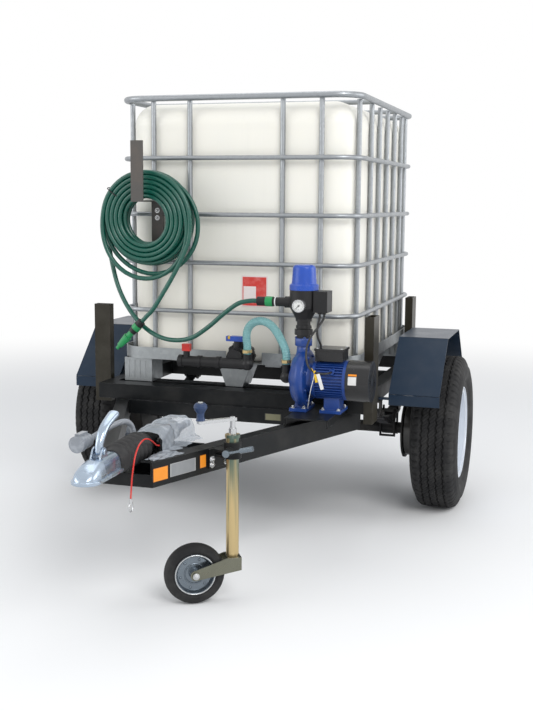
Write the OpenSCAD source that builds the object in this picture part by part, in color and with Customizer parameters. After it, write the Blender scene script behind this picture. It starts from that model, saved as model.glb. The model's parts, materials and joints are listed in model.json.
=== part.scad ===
// Wheeled water bowser: a caged 1000 litre tank on a single-axle trailer with a pump.
// X is across the trailer, Y runs from the coupling to the rear, Z is up from the ground.

/* [Tank and cage] */
// Width of the cage
cage_w = 1000; // [960:5:1040]
// Depth of the cage along the trailer
cage_d = 1200; // [1150:5:1240]
// Height of the top rim's centre above the deck
cage_h = 1134; // [1000:5:1200]
// Outer radius of the cage's corners
cage_corner_r = 110; // [90:1:130]
// Diameter of the cage hoops
hoop_d = 18; // [14:0.5:20]
// Diameter of the top rim tube
rim_tube_d = 24; // [20:0.5:26]
// Diameter of the cage uprights
upright_d = 20; // [16:0.5:22]
// Wall of the tank
tank_wall = 5; // [3:0.5:8]
// Radius of the tank's corners
tank_corner_r = 90; // [70:1:110]
// Height of the pallet feet
foot_h = 96; // [80:1:110]
// Height of the tray's rim above its floor
tray_rim_h = 45; // [30:1:60]
// Diameter of the filler cap
cap_d = 165; // [150:1:180]

/* [Frame] */
// Height of the deck above the ground
deck_z = 566; // [550:1:580]
// Height of the frame's beams
beam_h = 60; // [50:1:70]
// Depth of the front and rear beams
beam_w = 75; // [60:1:90]
// Width of the side rails
rail_w = 50; // [40:1:60]
// Wall of the frame's tubes
tube_wall = 4; // [3:0.5:6]
// Height of the corner posts above the rail's underside
post_h = 370; // [300:5:400]
// Broad face of a corner post
post_w = 70; // [50:1:80]
// Thickness of a corner post
post_t = 35; // [25:1:38]

/* [Drawbar] */
// Height of a drawbar arm
arm_h = 80; // [60:1:90]
// Width of a drawbar arm
arm_w = 50; // [40:1:60]
// Distance of an arm's outer face inside the frame's side, at the frame
arm_in = 28; // [20:1:60]
// Distance from the cage's front to the coupling's tip
coupling_reach = 1322; // [1290:1:1350]
// Height of the coupling shaft
coupling_z = 524; // [518:1:530]
// Diameter of the coupling shaft
shaft_d = 45; // [36:1:50]
// Radius of the ball socket in the coupling head
socket_r = 25.2; // [24:0.1:26]
// Outer diameter of the gaiter
gaiter_d = 104; // [90:1:108]
// Travel of the overrun coupling
overrun_travel = 90; // [60:1:95]

/* [Wheels] */
// Outer diameter of the road tyres
tyre_d = 650; // [630:1:660]
// Width of the road tyres
tyre_w = 200; // [180:1:206]
// Diameter over the rim's lip
lip_d = 390; // [380:1:400]
// Gap between the frame's side and the tyre
wheel_gap = 110; // [90:1:125]
// Distance from the cage's front to the axle
axle_y = 574; // [565:1:585]
// Diameter of the axle tube
axle_d = 48; // [40:1:60]
// Width of the leaf springs
leaf_w = 45; // [40:1:50]
// Thickness of one leaf
leaf_t = 7; // [5:0.5:8]
// Number of leaves
leaf_count = 5; // [3:1:5]

/* [Jockey wheel] */
// Distance of the jockey tube's middle from the arm's face, across the trailer
jockey_out = 72.74; // [66:0.01:80]
// Distance of the jockey tube behind the coupling's tip
jockey_back = 544; // [500:1:560]
// Outer diameter of the jockey tube
jockey_tube_d = 42; // [38:0.5:44]
// Diameter of the jockey tyre
jockey_d = 200; // [190:1:206]
// Width of the jockey tyre
jockey_w = 50; // [40:1:54]
// Horizontal offset of the jockey axle from the tube
jockey_trail = 127; // [122:1:140]
// Travel of the jockey leg
jockey_travel = 200; // [120:5:220]

/* [Pump] */
// Height of the shelf's top above the arms
shelf_h = 30; // [20:1:40]
// Height of the pump's axis above the shelf
pump_h = 118; // [112:1:126]
// Diameter of the volute
volute_d = 205; // [190:1:216]
// Diameter of the motor over its fins
motor_d = 145; // [130:1:150]
// Number of motor fins
fin_count = 40; // [24:4:48]
// Diameter of the pump shaft
pump_shaft_d = 14; // [10:1:18]
// Diameter of the controller's body
controller_d = 106; // [96:1:110]
// Diameter of the controller's dome
dome_d = 92; // [80:1:96]
// Diameter of the pressure gauge
gauge_d = 46; // [40:1:50]

/* [Outlet] */
// Height of the outlet's axis above the tray floor
outlet_h = 36; // [34:1:40]
// Sideways offset of the outlet
outlet_x = 45; // [40:1:50]
// Diameter of the manifold pipe
manifold_d = 42; // [36:1:44]
// Diameter of the suction hose over its ribs
suction_d = 32; // [28:1:34]
// Number of ribs on the suction hose
suction_ribs = 54; // [30:1:60]

/* [Garden hose] */
// Diameter of the garden hose
hose_d = 17.5; // [14:0.1:17.6]
// Distance between neighbouring turns and layers
coil_pitch = 18.2; // [18.2:0.1:18.6]
// Turns in each layer
layer_turns = 5.375; // [3.375:1:5.375]
// Layers in the coil
coil_layers = 4; // [2:2:4]
// Outer radius to the middle of the outermost turn
coil_r = 187; // [180:1:192]
// Width of the hanger's flat bar
hanger_w = 50; // [40:1:56]
// Thickness of the hanger's flat bar
hanger_t = 6; // [4:0.5:8]

/* [Fits] */
// Gap between pieces that rest on each other
seat = 0.3; // [0.2:0.05:0.4]
// Gap at a weld between two frame members
weld = 0.2; // [0.1:0.05:0.3]
// Radial clearance of a running fit
run = 0.06; // [0.03:0.01:0.1]

/* [Hidden] */
$fn = 64;

// Whole frame
rear_y = cage_d + 50;
mid_y = (rear_y - coupling_reach) / 2;
rim_z = deck_z + cage_h;
beam_z = deck_z - beam_h;
rail_x = cage_w / 2;
frame_half = rail_x + rail_w;
half_track = frame_half + wheel_gap + tyre_w / 2;
tip_y = -coupling_reach;
cord_gap = 1.0;
front_beam_y = -80;
rear_beam_y = rear_y - beam_w;
foot_row_y = [70, cage_d / 2, cage_d - 70];
cross_w = 50;

// Drawbar: the outer face of an arm lies on a slanting line through the nose
arm_top = beam_z;
arm_bottom = arm_top - arm_h;
nose_y = tip_y + 302;
nose_half = 100;
plate_t = 6;
arm_start_y = tip_y + 522;
arm_end_y = 30;
arm_angle = atan((frame_half - arm_in - nose_half) / (arm_end_y - nose_y));
function arm_face(y) = nose_half + tan(arm_angle) * (y - nose_y);

// Tank
tray_z = deck_z + foot_h;
tray_t = 3;
tank_z0 = tray_z + tray_t + seat;
tank_z1 = rim_z - 15;
upright_in = hoop_d + seat + upright_d / 2;
tank_in = hoop_d + seat + upright_d + seat;
tank_half = cage_w / 2 - tank_in;
hoop_z = [for (drop = [232, 452, 642, 837]) rim_z - drop];
front_upright_x = [0.191 * cage_w, 0.345 * cage_w];
side_upright_y = concat(
  [cage_corner_r],
  [for (share = [0.2792, 0.4167, 0.5542, 0.6917, 0.8292]) share * cage_d],
  [cage_d - cage_corner_r]
);
filler_y = cage_d / 2;
dish_r = 130;
dish_floor = tank_z1 - 45;
neck_r = 70;
neck_top = dish_floor + 32;
outlet_z = tray_z + tray_t + outlet_h;
outlet_r = 34;
outlet_end_y = -12;

// Running gear
axle_z = tyre_d / 2;
spring_x = rail_x + rail_w / 2;
spring_half = 330;
spring_eye_d = 34;
spring_drop = 60;
eye_z = beam_z - 62;
pin_d = 14;

rim_inset = 24;
lip_h = 17;
stub_d = 30;
drum_d = 230;
spring_clear = spring_x + 85;
pack_bottom = eye_z - spring_drop - (leaf_count - 1) * (leaf_t + 0.2);
saddle_h = 6.2;
axle_tube_z = pack_bottom - saddle_h - axle_d / 2;

// Jockey wheel
jockey_y = tip_y + jockey_back;
jockey_x = arm_face(jockey_y) + jockey_out;
jockey_axle_z = jockey_d / 2;
jockey_dir = [-109, -66] / norm([109, 66]);
jockey_axle = [jockey_x + jockey_trail * jockey_dir.x, jockey_y + jockey_trail * jockey_dir.y, jockey_axle_z];
jockey_yaw = atan2(jockey_dir.y, jockey_dir.x);
tube_wall_jockey = 2.5;
tube_bottom = 156;
tube_top = 556;
clamp_z = 505;
leg_d = jockey_tube_d - 2 * tube_wall_jockey - 2 * run;
spindle_d = 16;
spindle_bottom = 200;
crank_z = 606;
crank_len = 115;
crank_turn = atan2(-85, -80);
grip_h = 56;
grip_pin_d = 10;
yoke_z = 152;
leg_top = 440;
swivel_d = 20;
swivel_h = 38;
jockey_pin_d = 12;
boss_out = 52;
screw_d = 12;

// Overrun coupling
housing_y = [tip_y + 294, tip_y + 632];
tube_y = [tip_y + 417, tip_y + 682];
tube_od = 70;
collar_end = tip_y + 228;
handle_pivot = [tip_y + 127, coupling_z + 48];
lever_x = [46, 54];
pivot = [tip_y + 462, coupling_z + 6];
pivot_d = 12;
gaiter_folds = 6;

// Pump
shelf_z = arm_top + shelf_h;
shelf_t = 5;
shelf_x = [325, 485];
shelf_y = [-377, front_beam_y - weld];
pump_y = -200;
pump_z = shelf_z + pump_h;
volute_x = [312, 374];
motor_x = [392, 520];
fan_x = 606;
discharge_x = 345;
suction_face = 297;
box_x = [402, 505];
box_top = pump_z + motor_d / 2 + 46;
gland_x = 470;
gland_z = pump_z + 39;
nipple_x = 246;
neck_z = pump_z + 122;
flange_z = neck_z + 28;
union_z = flange_z + 62;
body_z = union_z + 115;
dome_z = body_z + 92;
nipple_z = union_z + 68;
gauge_z = union_z + 62;

// Outlet and suction
manifold_y = -120;
manifold_z = outlet_z - 20;
manifold_x = -183;
elbow_x = 100;
tap_x = -150;
tap_top = manifold_z + 40;
stem_y = -68;
stem_top = outlet_z + 60;
stem_d = 14;
suction_bore = suction_d - 10;
barb_d = suction_bore - 3;

// Hose coil
hanger_plate_w = 30;
hanger_x = hanger_plate_w / 2 + 2 + upright_d / 2 - front_upright_x[1];
coil_z = 1226;
layer_n = layer_turns * 24;
coil_in = coil_r - layer_turns * coil_pitch;
coil_y = -100;
coil_front_y = coil_y - coil_pitch * (coil_layers - 1) / 2;
coil_back_y = coil_y + coil_pitch * (coil_layers - 1) / 2;
hanger_top = coil_z + sqrt(pow(coil_in - hose_d / 2 - seat, 2) - pow(hanger_w / 2, 2));
lip_y = coil_front_y - hose_d / 2 - 60;
coil_start = [hanger_x - coil_r, coil_back_y, coil_z - hose_d];
coil_end = [hanger_x + coil_r, coil_front_y, coil_z - hose_d];

// Routes of the cords, as points chosen by hand
nut_x = 165;
lead_share = [
  [0.0373, 0, 934], [0.1119, 0, 922], [0.2015, 4, 880], [0.291, 10, 830], [0.3955, 18, 784], [0.5, 28, 768],
  [0.612, 40, 776], [0.7239, 55, 812], [0.8284, 75, 876], [0.9104, 95, 960], [0.9657, 115, 1060],
  [0.9955, 127, 1150]
];
lead_route = [
  [nut_x, pump_y, nipple_z],
  for (p = lead_share) [nut_x + p.x * (coil_start.x - nut_x), pump_y + p.y, p.z],
  coil_start - [0, 0, 20],
  coil_start - [0, 0, cord_gap]
];
tail_share = [
  [180, 1140], [156, 1075], [122, 1005], [80, 930], [50, 881], [32, 862], [8, 837]
];
tail_y = [-134, -146, -158, -172, -181, -183, -184];
tail_route = [
  coil_end - [0, 0, cord_gap],
  coil_end - [0, 0, 20],
  for (k = [0 : len(tail_y) - 1]) [hanger_x + tail_share[k].x, tail_y[k], tail_share[k].y]
];
suction_route = [
  [elbow_x, manifold_y, 720], [elbow_x, manifold_y, 752], [97, -122, 785], [105, -126, 820], [130, -134, 845],
  [165, -143, 853], [200, -153, 843], [230, -166, 818], [256, -182, 785], [273, -194, 758],
  [280, pump_y, 734], [280, pump_y, 702]
];
box_cable = [
  [412, -226, 894.4], [412, -226, 884], [409, -234, 862], [407, -241, 838], [409, -239, 814],
  [415, -229, 793], [418, -224, 782], [418, -224, 773.3]
];
motor_cable = [
  [428, -226, 894.4], [428, -226, 882], [414, -252, 852], [394, -276, 820], [384, -294, 784],
  [386, -310, 746], [400, -325, 716], [424, -334, 700], [448, -328, 694], [464, -308, 693],
  [gland_x, -288, 693], [gland_x, -275.3, 693]
];
// Each point's distance behind the coupling's tip
function from_tip(points) = [for (p = points) [p.x, tip_y + p.y, p.z]];
breakaway_route = from_tip([
  [59, 437, 526], [59.4, 412, 533], [62, 377, 552], [64, 337, 569], [64, 302, 573], [64, 267, 562],
  [64, 240, 536], [64, 226, 505], [63, 218, 474], [62, 214, 440], [61, 212, 412]
]);
lead_conduit = from_tip([
  [-97, 260, 574], [-97, 280, 574], [-94, 304, 578], [-88, 332, 584], [-80, 364, 590], [-72, 397, 595],
  [-66, 429, 596], [-62, 459, 590], [-60, 484, 573], [-60, 501, 548], [-60, 507, 522], [-60, 507, 513.8]
]);
lead_end = lead_conduit[len(lead_conduit) - 1];
lead_d = 19;
tail_dir = unit([-95, -4, -99]);
nozzle_at = 60;

function unit(v) = v / norm(v);
function tangent(p, i) = unit(p[min(i + 1, len(p) - 1)] - p[max(i - 1, 0)]);
// Points of a smooth curve through a route, with a fixed number to each span
function spline_point(p, i, t) =
  let (a = p[max(i - 1, 0)], b = p[i], c = p[i + 1], d = p[min(i + 2, len(p) - 1)])
  b + t * ((c - a) / 2 + t * (a - 2.5 * b + 2 * c - d / 2 + t * (1.5 * (b - c) + (d - a) / 2)));
function smooth(p, n) =
  [for (i = [0 : len(p) - 2]) for (k = [0 : n - 1]) spline_point(p, i, k / n), p[len(p) - 1]];
// The same path at even steps along its length
function run_lengths(p) =
  [for (i = 0, s = 0; i < len(p); i = i + 1, s = s + norm(p[min(i, len(p) - 1)] - p[i - 1])) s];
function at_length(p, c, s) =
  let (i = max([0, for (k = [0 : len(p) - 2]) if (c[k] <= s) k]))
  p[i] + (p[i + 1] - p[i]) * (s - c[i]) / (c[i + 1] - c[i]);
function even(p, n) =
  let (c = run_lengths(p), total = c[len(c) - 1])
  [for (k = [0 : n]) at_length(p, c, total * k / n)];
// Ring of points square to a path
function ring(p, i, r, sides, ref) =
  let (t = tangent(p, i), u = unit(cross(ref, t)), v = cross(t, u))
  [for (k = [0 : sides - 1]) p[i] + r * (cos(360 * k / sides) * u + sin(360 * k / sides) * v)];
// Triangles between two neighbouring rings
function band(a, b, sides) = [for (k = [0 : sides - 1]) let (m = (k + 1) % sides)
  each [[a + k, b + k, b + m], [a + k, b + m, a + m]]];
function reversed(faces) = [for (f = faces) [f[2], f[1], f[0]]];
function fan(a, sides) = [for (k = [1 : sides - 2]) [a, a + k, a + k + 1]];

// A round tube along a path
module tube_along(path, d, sides, ref) {
  n = len(path);
  points = [for (i = [0 : n - 1]) each ring(path, i, d / 2, sides, ref)];
  faces = [
    each fan(0, sides),
    for (i = [0 : n - 2]) each band(i * sides, (i + 1) * sides, sides),
    each reversed(fan((n - 1) * sides, sides))
  ];
  polyhedron(points = points, faces = faces);
}

// A ribbed hose along a path: every second ring stands proud, and a plain bore runs through it
module ribbed_along(path, d, rib, bore, sides, ref, bore_step) {
  n = len(path);
  inner = [for (i = [0 : bore_step : n - 1]) path[i], if ((n - 1) % bore_step != 0) path[n - 1]];
  m = len(inner);
  function rib_r(i) = (i < 4 || i > n - 5 || i % 2 == 0) ? d / 2 - rib : d / 2;
  points = [
    for (i = [0 : n - 1]) each ring(path, i, rib_r(i), sides, ref),
    for (i = [0 : m - 1]) each ring(inner, i, bore / 2, sides, ref)
  ];
  base = n * sides;
  faces = [
    for (i = [0 : n - 2]) each band(i * sides, (i + 1) * sides, sides),
    for (i = [0 : m - 2]) each reversed(band(base + i * sides, base + (i + 1) * sides, sides)),
    each band(base, 0, sides),
    each band((n - 1) * sides, base + (m - 1) * sides, sides)
  ];
  polyhedron(points = points, faces = faces);
}

module place() translate([0, -mid_y, 0]) children();
module block(lo, hi) translate(lo) cube(hi - lo);
module mirrored() {
  children();
  mirror([1, 0, 0]) children();
}
// A round bar between two points
module rod(a, b, d) {
  v = b - a;
  translate(a) rotate([0, acos(v.z / norm(v)), atan2(v.y, v.x)]) cylinder(d = d, h = norm(v));
}
module rod_x(x0, x1, y, z, d) translate([x0, y, z]) rotate([0, 90, 0]) cylinder(d = d, h = x1 - x0);
module rod_y(x, y0, y1, z, d) translate([x, y0, z]) rotate([-90, 0, 0]) cylinder(d = d, h = y1 - y0);
module rod_z(x, y, z0, z1, d) translate([x, y, z0]) cylinder(d = d, h = z1 - z0);
// A box tube, hollow along X, Y or Z
module box_tube(lo, hi, axis) {
  t = [for (k = [0 : 2]) k == axis ? -1 : tube_wall];
  difference() {
    block(lo, hi);
    block(lo + t, hi - t);
  }
}
module round_rect(w, d, r) {
  square([w - 2 * r, d], center = true);
  square([w, d - 2 * r], center = true);
  for (x = [-1, 1], y = [-1, 1]) translate([x * (w / 2 - r), y * (d / 2 - r)]) circle(r);
}
// A prism whose outline lies in the YZ plane, from x0 to x1
module side_plate(outline, x0, x1)
  translate([x0, 0, 0]) rotate([90, 0, 90]) linear_extrude(x1 - x0) polygon(outline);
// A prism whose outline lies in the XZ plane, from y0 to y1
module front_plate(outline, y0, y1)
  translate([0, y1, 0]) rotate([90, 0, 0]) linear_extrude(y1 - y0) polygon(outline);

// Frame

module chassis_frame() {
  color("#1b1d20") place() {
    mirrored() box_tube([rail_x, front_beam_y + beam_w + weld, beam_z],
                        [frame_half, rear_beam_y - weld, deck_z], 1);
    box_tube([-frame_half, front_beam_y, beam_z], [frame_half, front_beam_y + beam_w, deck_z], 0);
    box_tube([-frame_half, rear_beam_y, beam_z], [frame_half, rear_y, deck_z], 0);
    block([-frame_half, cage_d + 16, deck_z + weld], [frame_half, cage_d + 22, deck_z + foot_h + 20]);
    for (y = foot_row_y)
      box_tube([-rail_x + weld, y - cross_w / 2, beam_z], [rail_x - weld, y + cross_w / 2, deck_z], 0);
    tie_half = arm_face(front_beam_y - 10) - (arm_w + plate_t) / cos(arm_angle) - weld;
    box_tube([-tie_half, front_beam_y - 10, arm_top - 55], [tie_half, front_beam_y + 40, arm_top - weld], 0);
  }
}

// One arm's outline in plan, between two distances along the trailer, inset from the outer face
module arm_plan(y0, y1, inset, width) {
  function edge(y, off) = arm_face(y) - off / cos(arm_angle);
  polygon([
    [edge(y0, inset + width), y0], [edge(y0, inset), y0],
    [edge(y1, inset), y1], [edge(y1, inset + width), y1]
  ]);
}

module drawbar_arms() {
  color("#1b1d20") place() mirrored() translate([0, 0, arm_bottom]) difference() {
    linear_extrude(arm_h - weld) arm_plan(arm_start_y, arm_end_y, plate_t + weld, arm_w);
    translate([0, 0, tube_wall]) linear_extrude(arm_h - weld - 2 * tube_wall)
      arm_plan(arm_start_y - 10, arm_end_y + 10, plate_t + weld + tube_wall, arm_w - 2 * tube_wall);
  }
}

module corner_posts() {
  post_z = beam_z - 36;
  color("#1b1d20") place() {
    box_tube([-frame_half - weld - post_w, 32, post_z],
             [-frame_half - weld, 32 + post_t, post_z + post_h + 36], 2);
    box_tube([frame_half + weld, front_beam_y - 5, post_z],
             [frame_half + weld + post_t, front_beam_y + 90, post_z + post_h + 36], 2);
    mirrored() box_tube([frame_half - post_t, cage_d - 235, deck_z + weld],
                        [frame_half, cage_d - 140, deck_z + post_h - 76], 2);
  }
}

module pump_shelf() {
  color("#1b1d20") place() {
    difference() {
      block([shelf_x[0], shelf_y[0], arm_top + seat], [shelf_x[1], shelf_y[1], shelf_z]);
      block([shelf_x[0] + shelf_t, shelf_y[0] - 1, arm_top - 1],
            [shelf_x[1] - shelf_t, shelf_y[1] + 1, shelf_z - shelf_t]);
      for (x = [330, 470]) rod_z(x + 6, pump_y, shelf_z - 20, shelf_z + 1, 8);
    }
    translate([0, 0, arm_top + seat]) linear_extrude(shelf_h - shelf_t + 1 - seat)
      arm_plan(shelf_y[0] + 12, shelf_y[1] - 12, 30, 8);
  }
}

// Guard over a wheel, welded from plates: a flat top, two sloping ends, two skirts and an inner wall
module mudguards() {
  guard_t = 3;
  top = axle_z + tyre_d / 2 + 98;
  half_top = 172;
  half_end = 378;
  drop = 208;
  skirt = 45;
  wall_z = beam_z + 14 + weld;
  guard_x = [frame_half + 42, half_track + 36];
  lean = atan(drop / (half_end - half_top));
  slope = norm([half_end - half_top, drop]);
  color("#20242a") place() mirrored() {
    translate([0, axle_y, 0]) {
      block([guard_x[0], -half_top + weld, top - guard_t], [guard_x[1], half_top - weld, top]);
      for (e = [0, 180]) translate([(guard_x[0] + guard_x[1]) / 2, 0, 0]) rotate([0, 0, e]) {
        half = (guard_x[1] - guard_x[0]) / 2;
        translate([0, half_top, top]) rotate([-lean, 0, 0])
          block([-half, guard_t * sin(lean) + weld, -guard_t], [half, slope - weld, 0]);
        block([-half, half_end - guard_t, top - drop - skirt],
              [half, half_end, top - drop - guard_t * cos(lean) - weld]);
      }
      inner = guard_t + weld;
      side = half_end - inner;
      side_z = top - (inner + (side - half_top) * sin(lean)) / cos(lean);
      flat = half_top - inner * tan(lean / 2);
      side_plate([
        [-side, wall_z], [side, wall_z], [side, side_z],
        [flat, top - inner], [-flat, top - inner], [-side, side_z]
      ], guard_x[0], guard_x[0] + guard_t);
    }
    for (y = [axle_y - half_end + 8, axle_y + half_end - 38])
      block([frame_half + weld, y, beam_z + 8], [guard_x[0] + 40, y + 30, beam_z + 14]);
    for (y = [axle_y - half_end + guard_t + seat, axle_y + half_end - guard_t - seat - 6])
      block([guard_x[0] + guard_t + 1, y, beam_z + 14 + weld], [guard_x[0] + 40, y + 6, top - drop - 12]);
  }
}

// Running gear

// One leaf: a strip bent to a circle through the eyes' height and the middle drop
module leaf(half, thick, level) {
  rise = spring_drop;
  r = (spring_half * spring_half + rise * rise) / (2 * rise);
  mid_z = eye_z - rise - level;
  ang = asin(half / r);
  translate([0, axle_y, mid_z + r]) rotate([90, 0, 90]) rotate([0, 0, -90 - ang])
    linear_extrude(leaf_w, center = true) intersection() {
      difference() {
        circle(r, $fn = 200);
        circle(r - thick, $fn = 200);
      }
      polygon([
        [0, 0], [2 * r, 0], [2 * r * cos(ang), 2 * r * sin(ang)], [2 * r * cos(2 * ang), 2 * r * sin(2 * ang)]
      ]);
    }
}

module leaf_springs() {
  color("#22252a") place() for (s = [-1, 1]) translate([s * spring_x, 0, 0]) {
    difference() {
      union() {
        leaf(spring_half, leaf_t, 0);
        for (e = [-1, 1]) rod_x(-leaf_w / 2, leaf_w / 2, axle_y + e * spring_half, eye_z + 8, spring_eye_d);
      }
      for (e = [-1, 1]) rod_x(-leaf_w, leaf_w, axle_y + e * spring_half, eye_z + 8, pin_d + 2 * run);
    }
    for (k = [1 : leaf_count - 1]) leaf(spring_half - 14 - k * 52, leaf_t - 0.4, k * (leaf_t + 0.2));
  }
}

module spring_hangers() {
  cheek_t = 6;
  gap = leaf_w / 2 + 0.6;
  color("#1b1d20") place() for (s = [-1, 1], e = [-1, 1])
    translate([s * spring_x, axle_y + e * spring_half, 0]) {
    for (c = [-1, 1]) translate([c * (gap + cheek_t / 2), 0, 0]) {
      block([-cheek_t / 2, -22, eye_z + 8], [cheek_t / 2, 22, beam_z - 8]);
      rod_x(-cheek_t / 2, cheek_t / 2, 0, eye_z + 8, 44);
    }
    block([-gap - cheek_t, -30, beam_z - 8], [gap + cheek_t, 30, beam_z - weld]);
    rod_x(-gap - cheek_t - 12, gap + cheek_t + 12, 0, eye_z + 8, pin_d);
    for (c = [-1, 1]) translate([c * (gap + cheek_t + 6), 0, eye_z + 8]) rotate([0, 90, 0])
      cylinder(d = 24, h = 11, center = true, $fn = 6);
  }
}

module axle_beam() {
  plate_z = eye_z - spring_drop + leaf_t + 1.3;
  stub = half_track - tyre_w / 2 - 4;
  bolt_x = leaf_w / 2 + 8;
  bolt_y = axle_d / 2 + 8;
  bolt_d = 10;
  back_x = [spring_clear - 12, spring_clear - 4];
  color("#1b1d20") place() {
    rod_x(-back_x[0] + weld, back_x[0] - weld, axle_y, axle_tube_z, axle_d);
    mirrored() {
      rod_x(back_x[0], back_x[1], axle_y, axle_z, drum_d + 20);
      rod_x(back_x[1] + weld, stub, axle_y, axle_z, axle_d);
      rod_x(stub - 1, half_track + 40, axle_y, axle_z, stub_d);
    }
    for (s = [-1, 1]) translate([s * spring_x, axle_y, 0]) {
      difference() {
        block([-leaf_w / 2 - 2, -bolt_y + bolt_d, axle_tube_z],
              [leaf_w / 2 + 2, bolt_y - bolt_d, pack_bottom - seat]);
        rod_x(-leaf_w, leaf_w, 0, axle_tube_z, axle_d + 2 * weld);
      }
      block([-bolt_x - 10, -40, plate_z], [bolt_x + 10, 40, plate_z + 8]);
      for (c = [-1, 1], b = [-1, 1])
        rod_z(c * bolt_x, b * bolt_y, axle_tube_z - axle_d / 2 - 6, plate_z + 24, bolt_d);
      for (b = [-1, 1]) rod_x(-bolt_x - 4, bolt_x + 4, b * bolt_y, axle_tube_z - axle_d / 2 - 6, bolt_d);
    }
  }
}

// Tyre: a revolved outline with bulged walls, round shoulders, four tread grooves and a hollow inside
module tyre_solid() {
  r = tyre_d / 2;
  w = tyre_w / 2;
  seat_w = w - rim_inset;
  bead = lip_d / 2 - lip_h + seat;
  bulge = 60;
  shoulder = 26;
  function wall_point(a, s) = [bead + 78 + bulge * sin(a), s * (w - bulge + bulge * cos(a))];
  function shoulder_point(a, s) =
    [r - shoulder + shoulder * sin(a), s * (w - 18 - shoulder + shoulder * cos(a))];
  function side(s) = concat(
    [[bead, s * (seat_w - 14)], [bead, s * (seat_w - 4.5)], [lip_d / 2 + 1, s * (seat_w - 0.6)],
     [lip_d / 2 + 2, s * (seat_w + 8)]],
    [for (a = [-40 : 17.5 : 30]) wall_point(a, s)],
    [for (a = [30 : 20 : 90]) shoulder_point(a, s)]
  );
  hollow = [[bead + 40, -w + 30], [r - 40, -w + 34], [r - 18, 0], [r - 40, w - 34], [bead + 40, w - 30]];
  far = side(-1);
  rotate_extrude($fn = 128) difference() {
    polygon(concat(side(1), [for (i = [len(far) - 1 : -1 : 0]) far[i]], hollow));
    for (y = [-46, -16, 16, 46]) translate([r - 9, y - 3.5]) square([20, 7]);
  }
}

module wheel_at(side)
  place() translate([side * half_track, axle_y, axle_z]) rotate([0, side * 90, 0]) children();
module tyre_left() color("#26282a") wheel_at(-1) tyre_solid();
module tyre_right() color("#26282a") wheel_at(1) tyre_solid();

// Pressed wheel: a rim barrel with lips and a drop centre, a dished disc with holes, a drum and wheel nuts
module rim_solid() {
  w = tyre_w / 2 - rim_inset;
  lip = lip_d / 2;
  bead = lip - lip_h;
  well = bead - 22;
  t = 4;
  disc_z = 14;
  drum_back = spring_clear - half_track;
  difference() {
    rotate_extrude($fn = 128) union() {
      polygon([
        [lip, w + 6], [lip, w], [bead, w - 4], [bead, w - 26], [well, w - 44], [well, -w + 44],
        [bead, -w + 26],
        [bead, -w + 4], [lip, -w], [lip, -w - 6], [lip - t, -w - 6], [lip - t - 1, -w - 1], [bead - t, -w],
        [bead - t, -w + 27], [well - t, -w + 45], [well - t, w - 45], [bead - t, w - 27], [bead - t, w],
        [lip - t - 1, w + 1], [lip - t, w + 6]
      ]);
      polygon([
        [well - t + 1, disc_z + 2], [well - t + 1, disc_z + 12], [well - 30, disc_z + 14],
        [well - 62, disc_z + 22],
        [78, disc_z - 2], [33, disc_z - 2], [33, disc_z - 8], [80, disc_z - 8], [well - 60, disc_z + 15],
        [well - 30, disc_z + 7]
      ]);
    }
    for (k = [0 : 7]) rotate([0, 0, 45 * k]) translate([118, 0, -20]) cylinder(d = 22, h = 100);
    for (k = [0 : 4]) rotate([0, 0, 72 * k]) translate([57, 0, -20]) cylinder(d = 13, h = 60);
  }
  difference() {
    union() {
      translate([0, 0, drum_back]) cylinder(d = drum_d, h = -8 - drum_back);
      translate([0, 0, -9]) cylinder(d = 148, h = 9 + disc_z - 8 - seat);
      translate([0, 0, -9]) cylinder(d = 64, h = 60);
    }
    translate([0, 0, drum_back - 1]) cylinder(d = drum_d - 16, h = -20 - drum_back);
    translate([0, 0, drum_back]) cylinder(d = stub_d + 2 * run, h = 46 - drum_back);
  }
  for (k = [0 : 4]) rotate([0, 0, 72 * k]) translate([57, 0, disc_z - 2 + seat]) {
    cylinder(d = 21, h = 16, $fn = 6);
    translate([0, 0, 16]) cylinder(d = 12, h = 6);
  }
}

module rim_left() color("#d5dbe2") wheel_at(-1) rim_solid();
module rim_right() color("#d5dbe2") wheel_at(1) rim_solid();

// Tank, cage and pallet

module tank_form(inset) {
  r = tank_corner_r - inset;
  x = tank_half - tank_corner_r;
  y0 = tank_in + tank_corner_r;
  y1 = cage_d - tank_in - tank_corner_r;
  hull() for (sx = [-x, x], sy = [y0, y1]) {
    translate([sx, sy, tank_z1 - tank_corner_r]) sphere(r, $fn = 32);
    translate([sx, sy, tank_z0 + 26]) cylinder(r = r, h = 1, $fn = 32);
    translate([sx, sy, tank_z0 + inset]) cylinder(r = r - 18, h = 1, $fn = 32);
  }
}

module tank_bottle() {
  color("#e9e7dd") place() difference() {
    union() {
      difference() {
        tank_form(0);
        tank_form(tank_wall);
      }
      translate([0, filler_y, dish_floor - tank_wall])
        cylinder(r = dish_r + tank_wall, h = tank_z1 - dish_floor);
      rod_y(outlet_x, outlet_end_y, tank_in + tank_wall, outlet_z, 2 * outlet_r);
    }
    difference() {
      translate([0, filler_y, dish_floor]) cylinder(r = dish_r, h = 100);
      translate([0, filler_y, dish_floor - 1]) cylinder(r = neck_r, h = neck_top - dish_floor + 1);
    }
    translate([0, filler_y, dish_floor - 100]) cylinder(r = neck_r - 8, h = 200);
    rod_y(outlet_x, outlet_end_y - 1, tank_in + 60, outlet_z, 2 * outlet_r - 18);
  }
}

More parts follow.
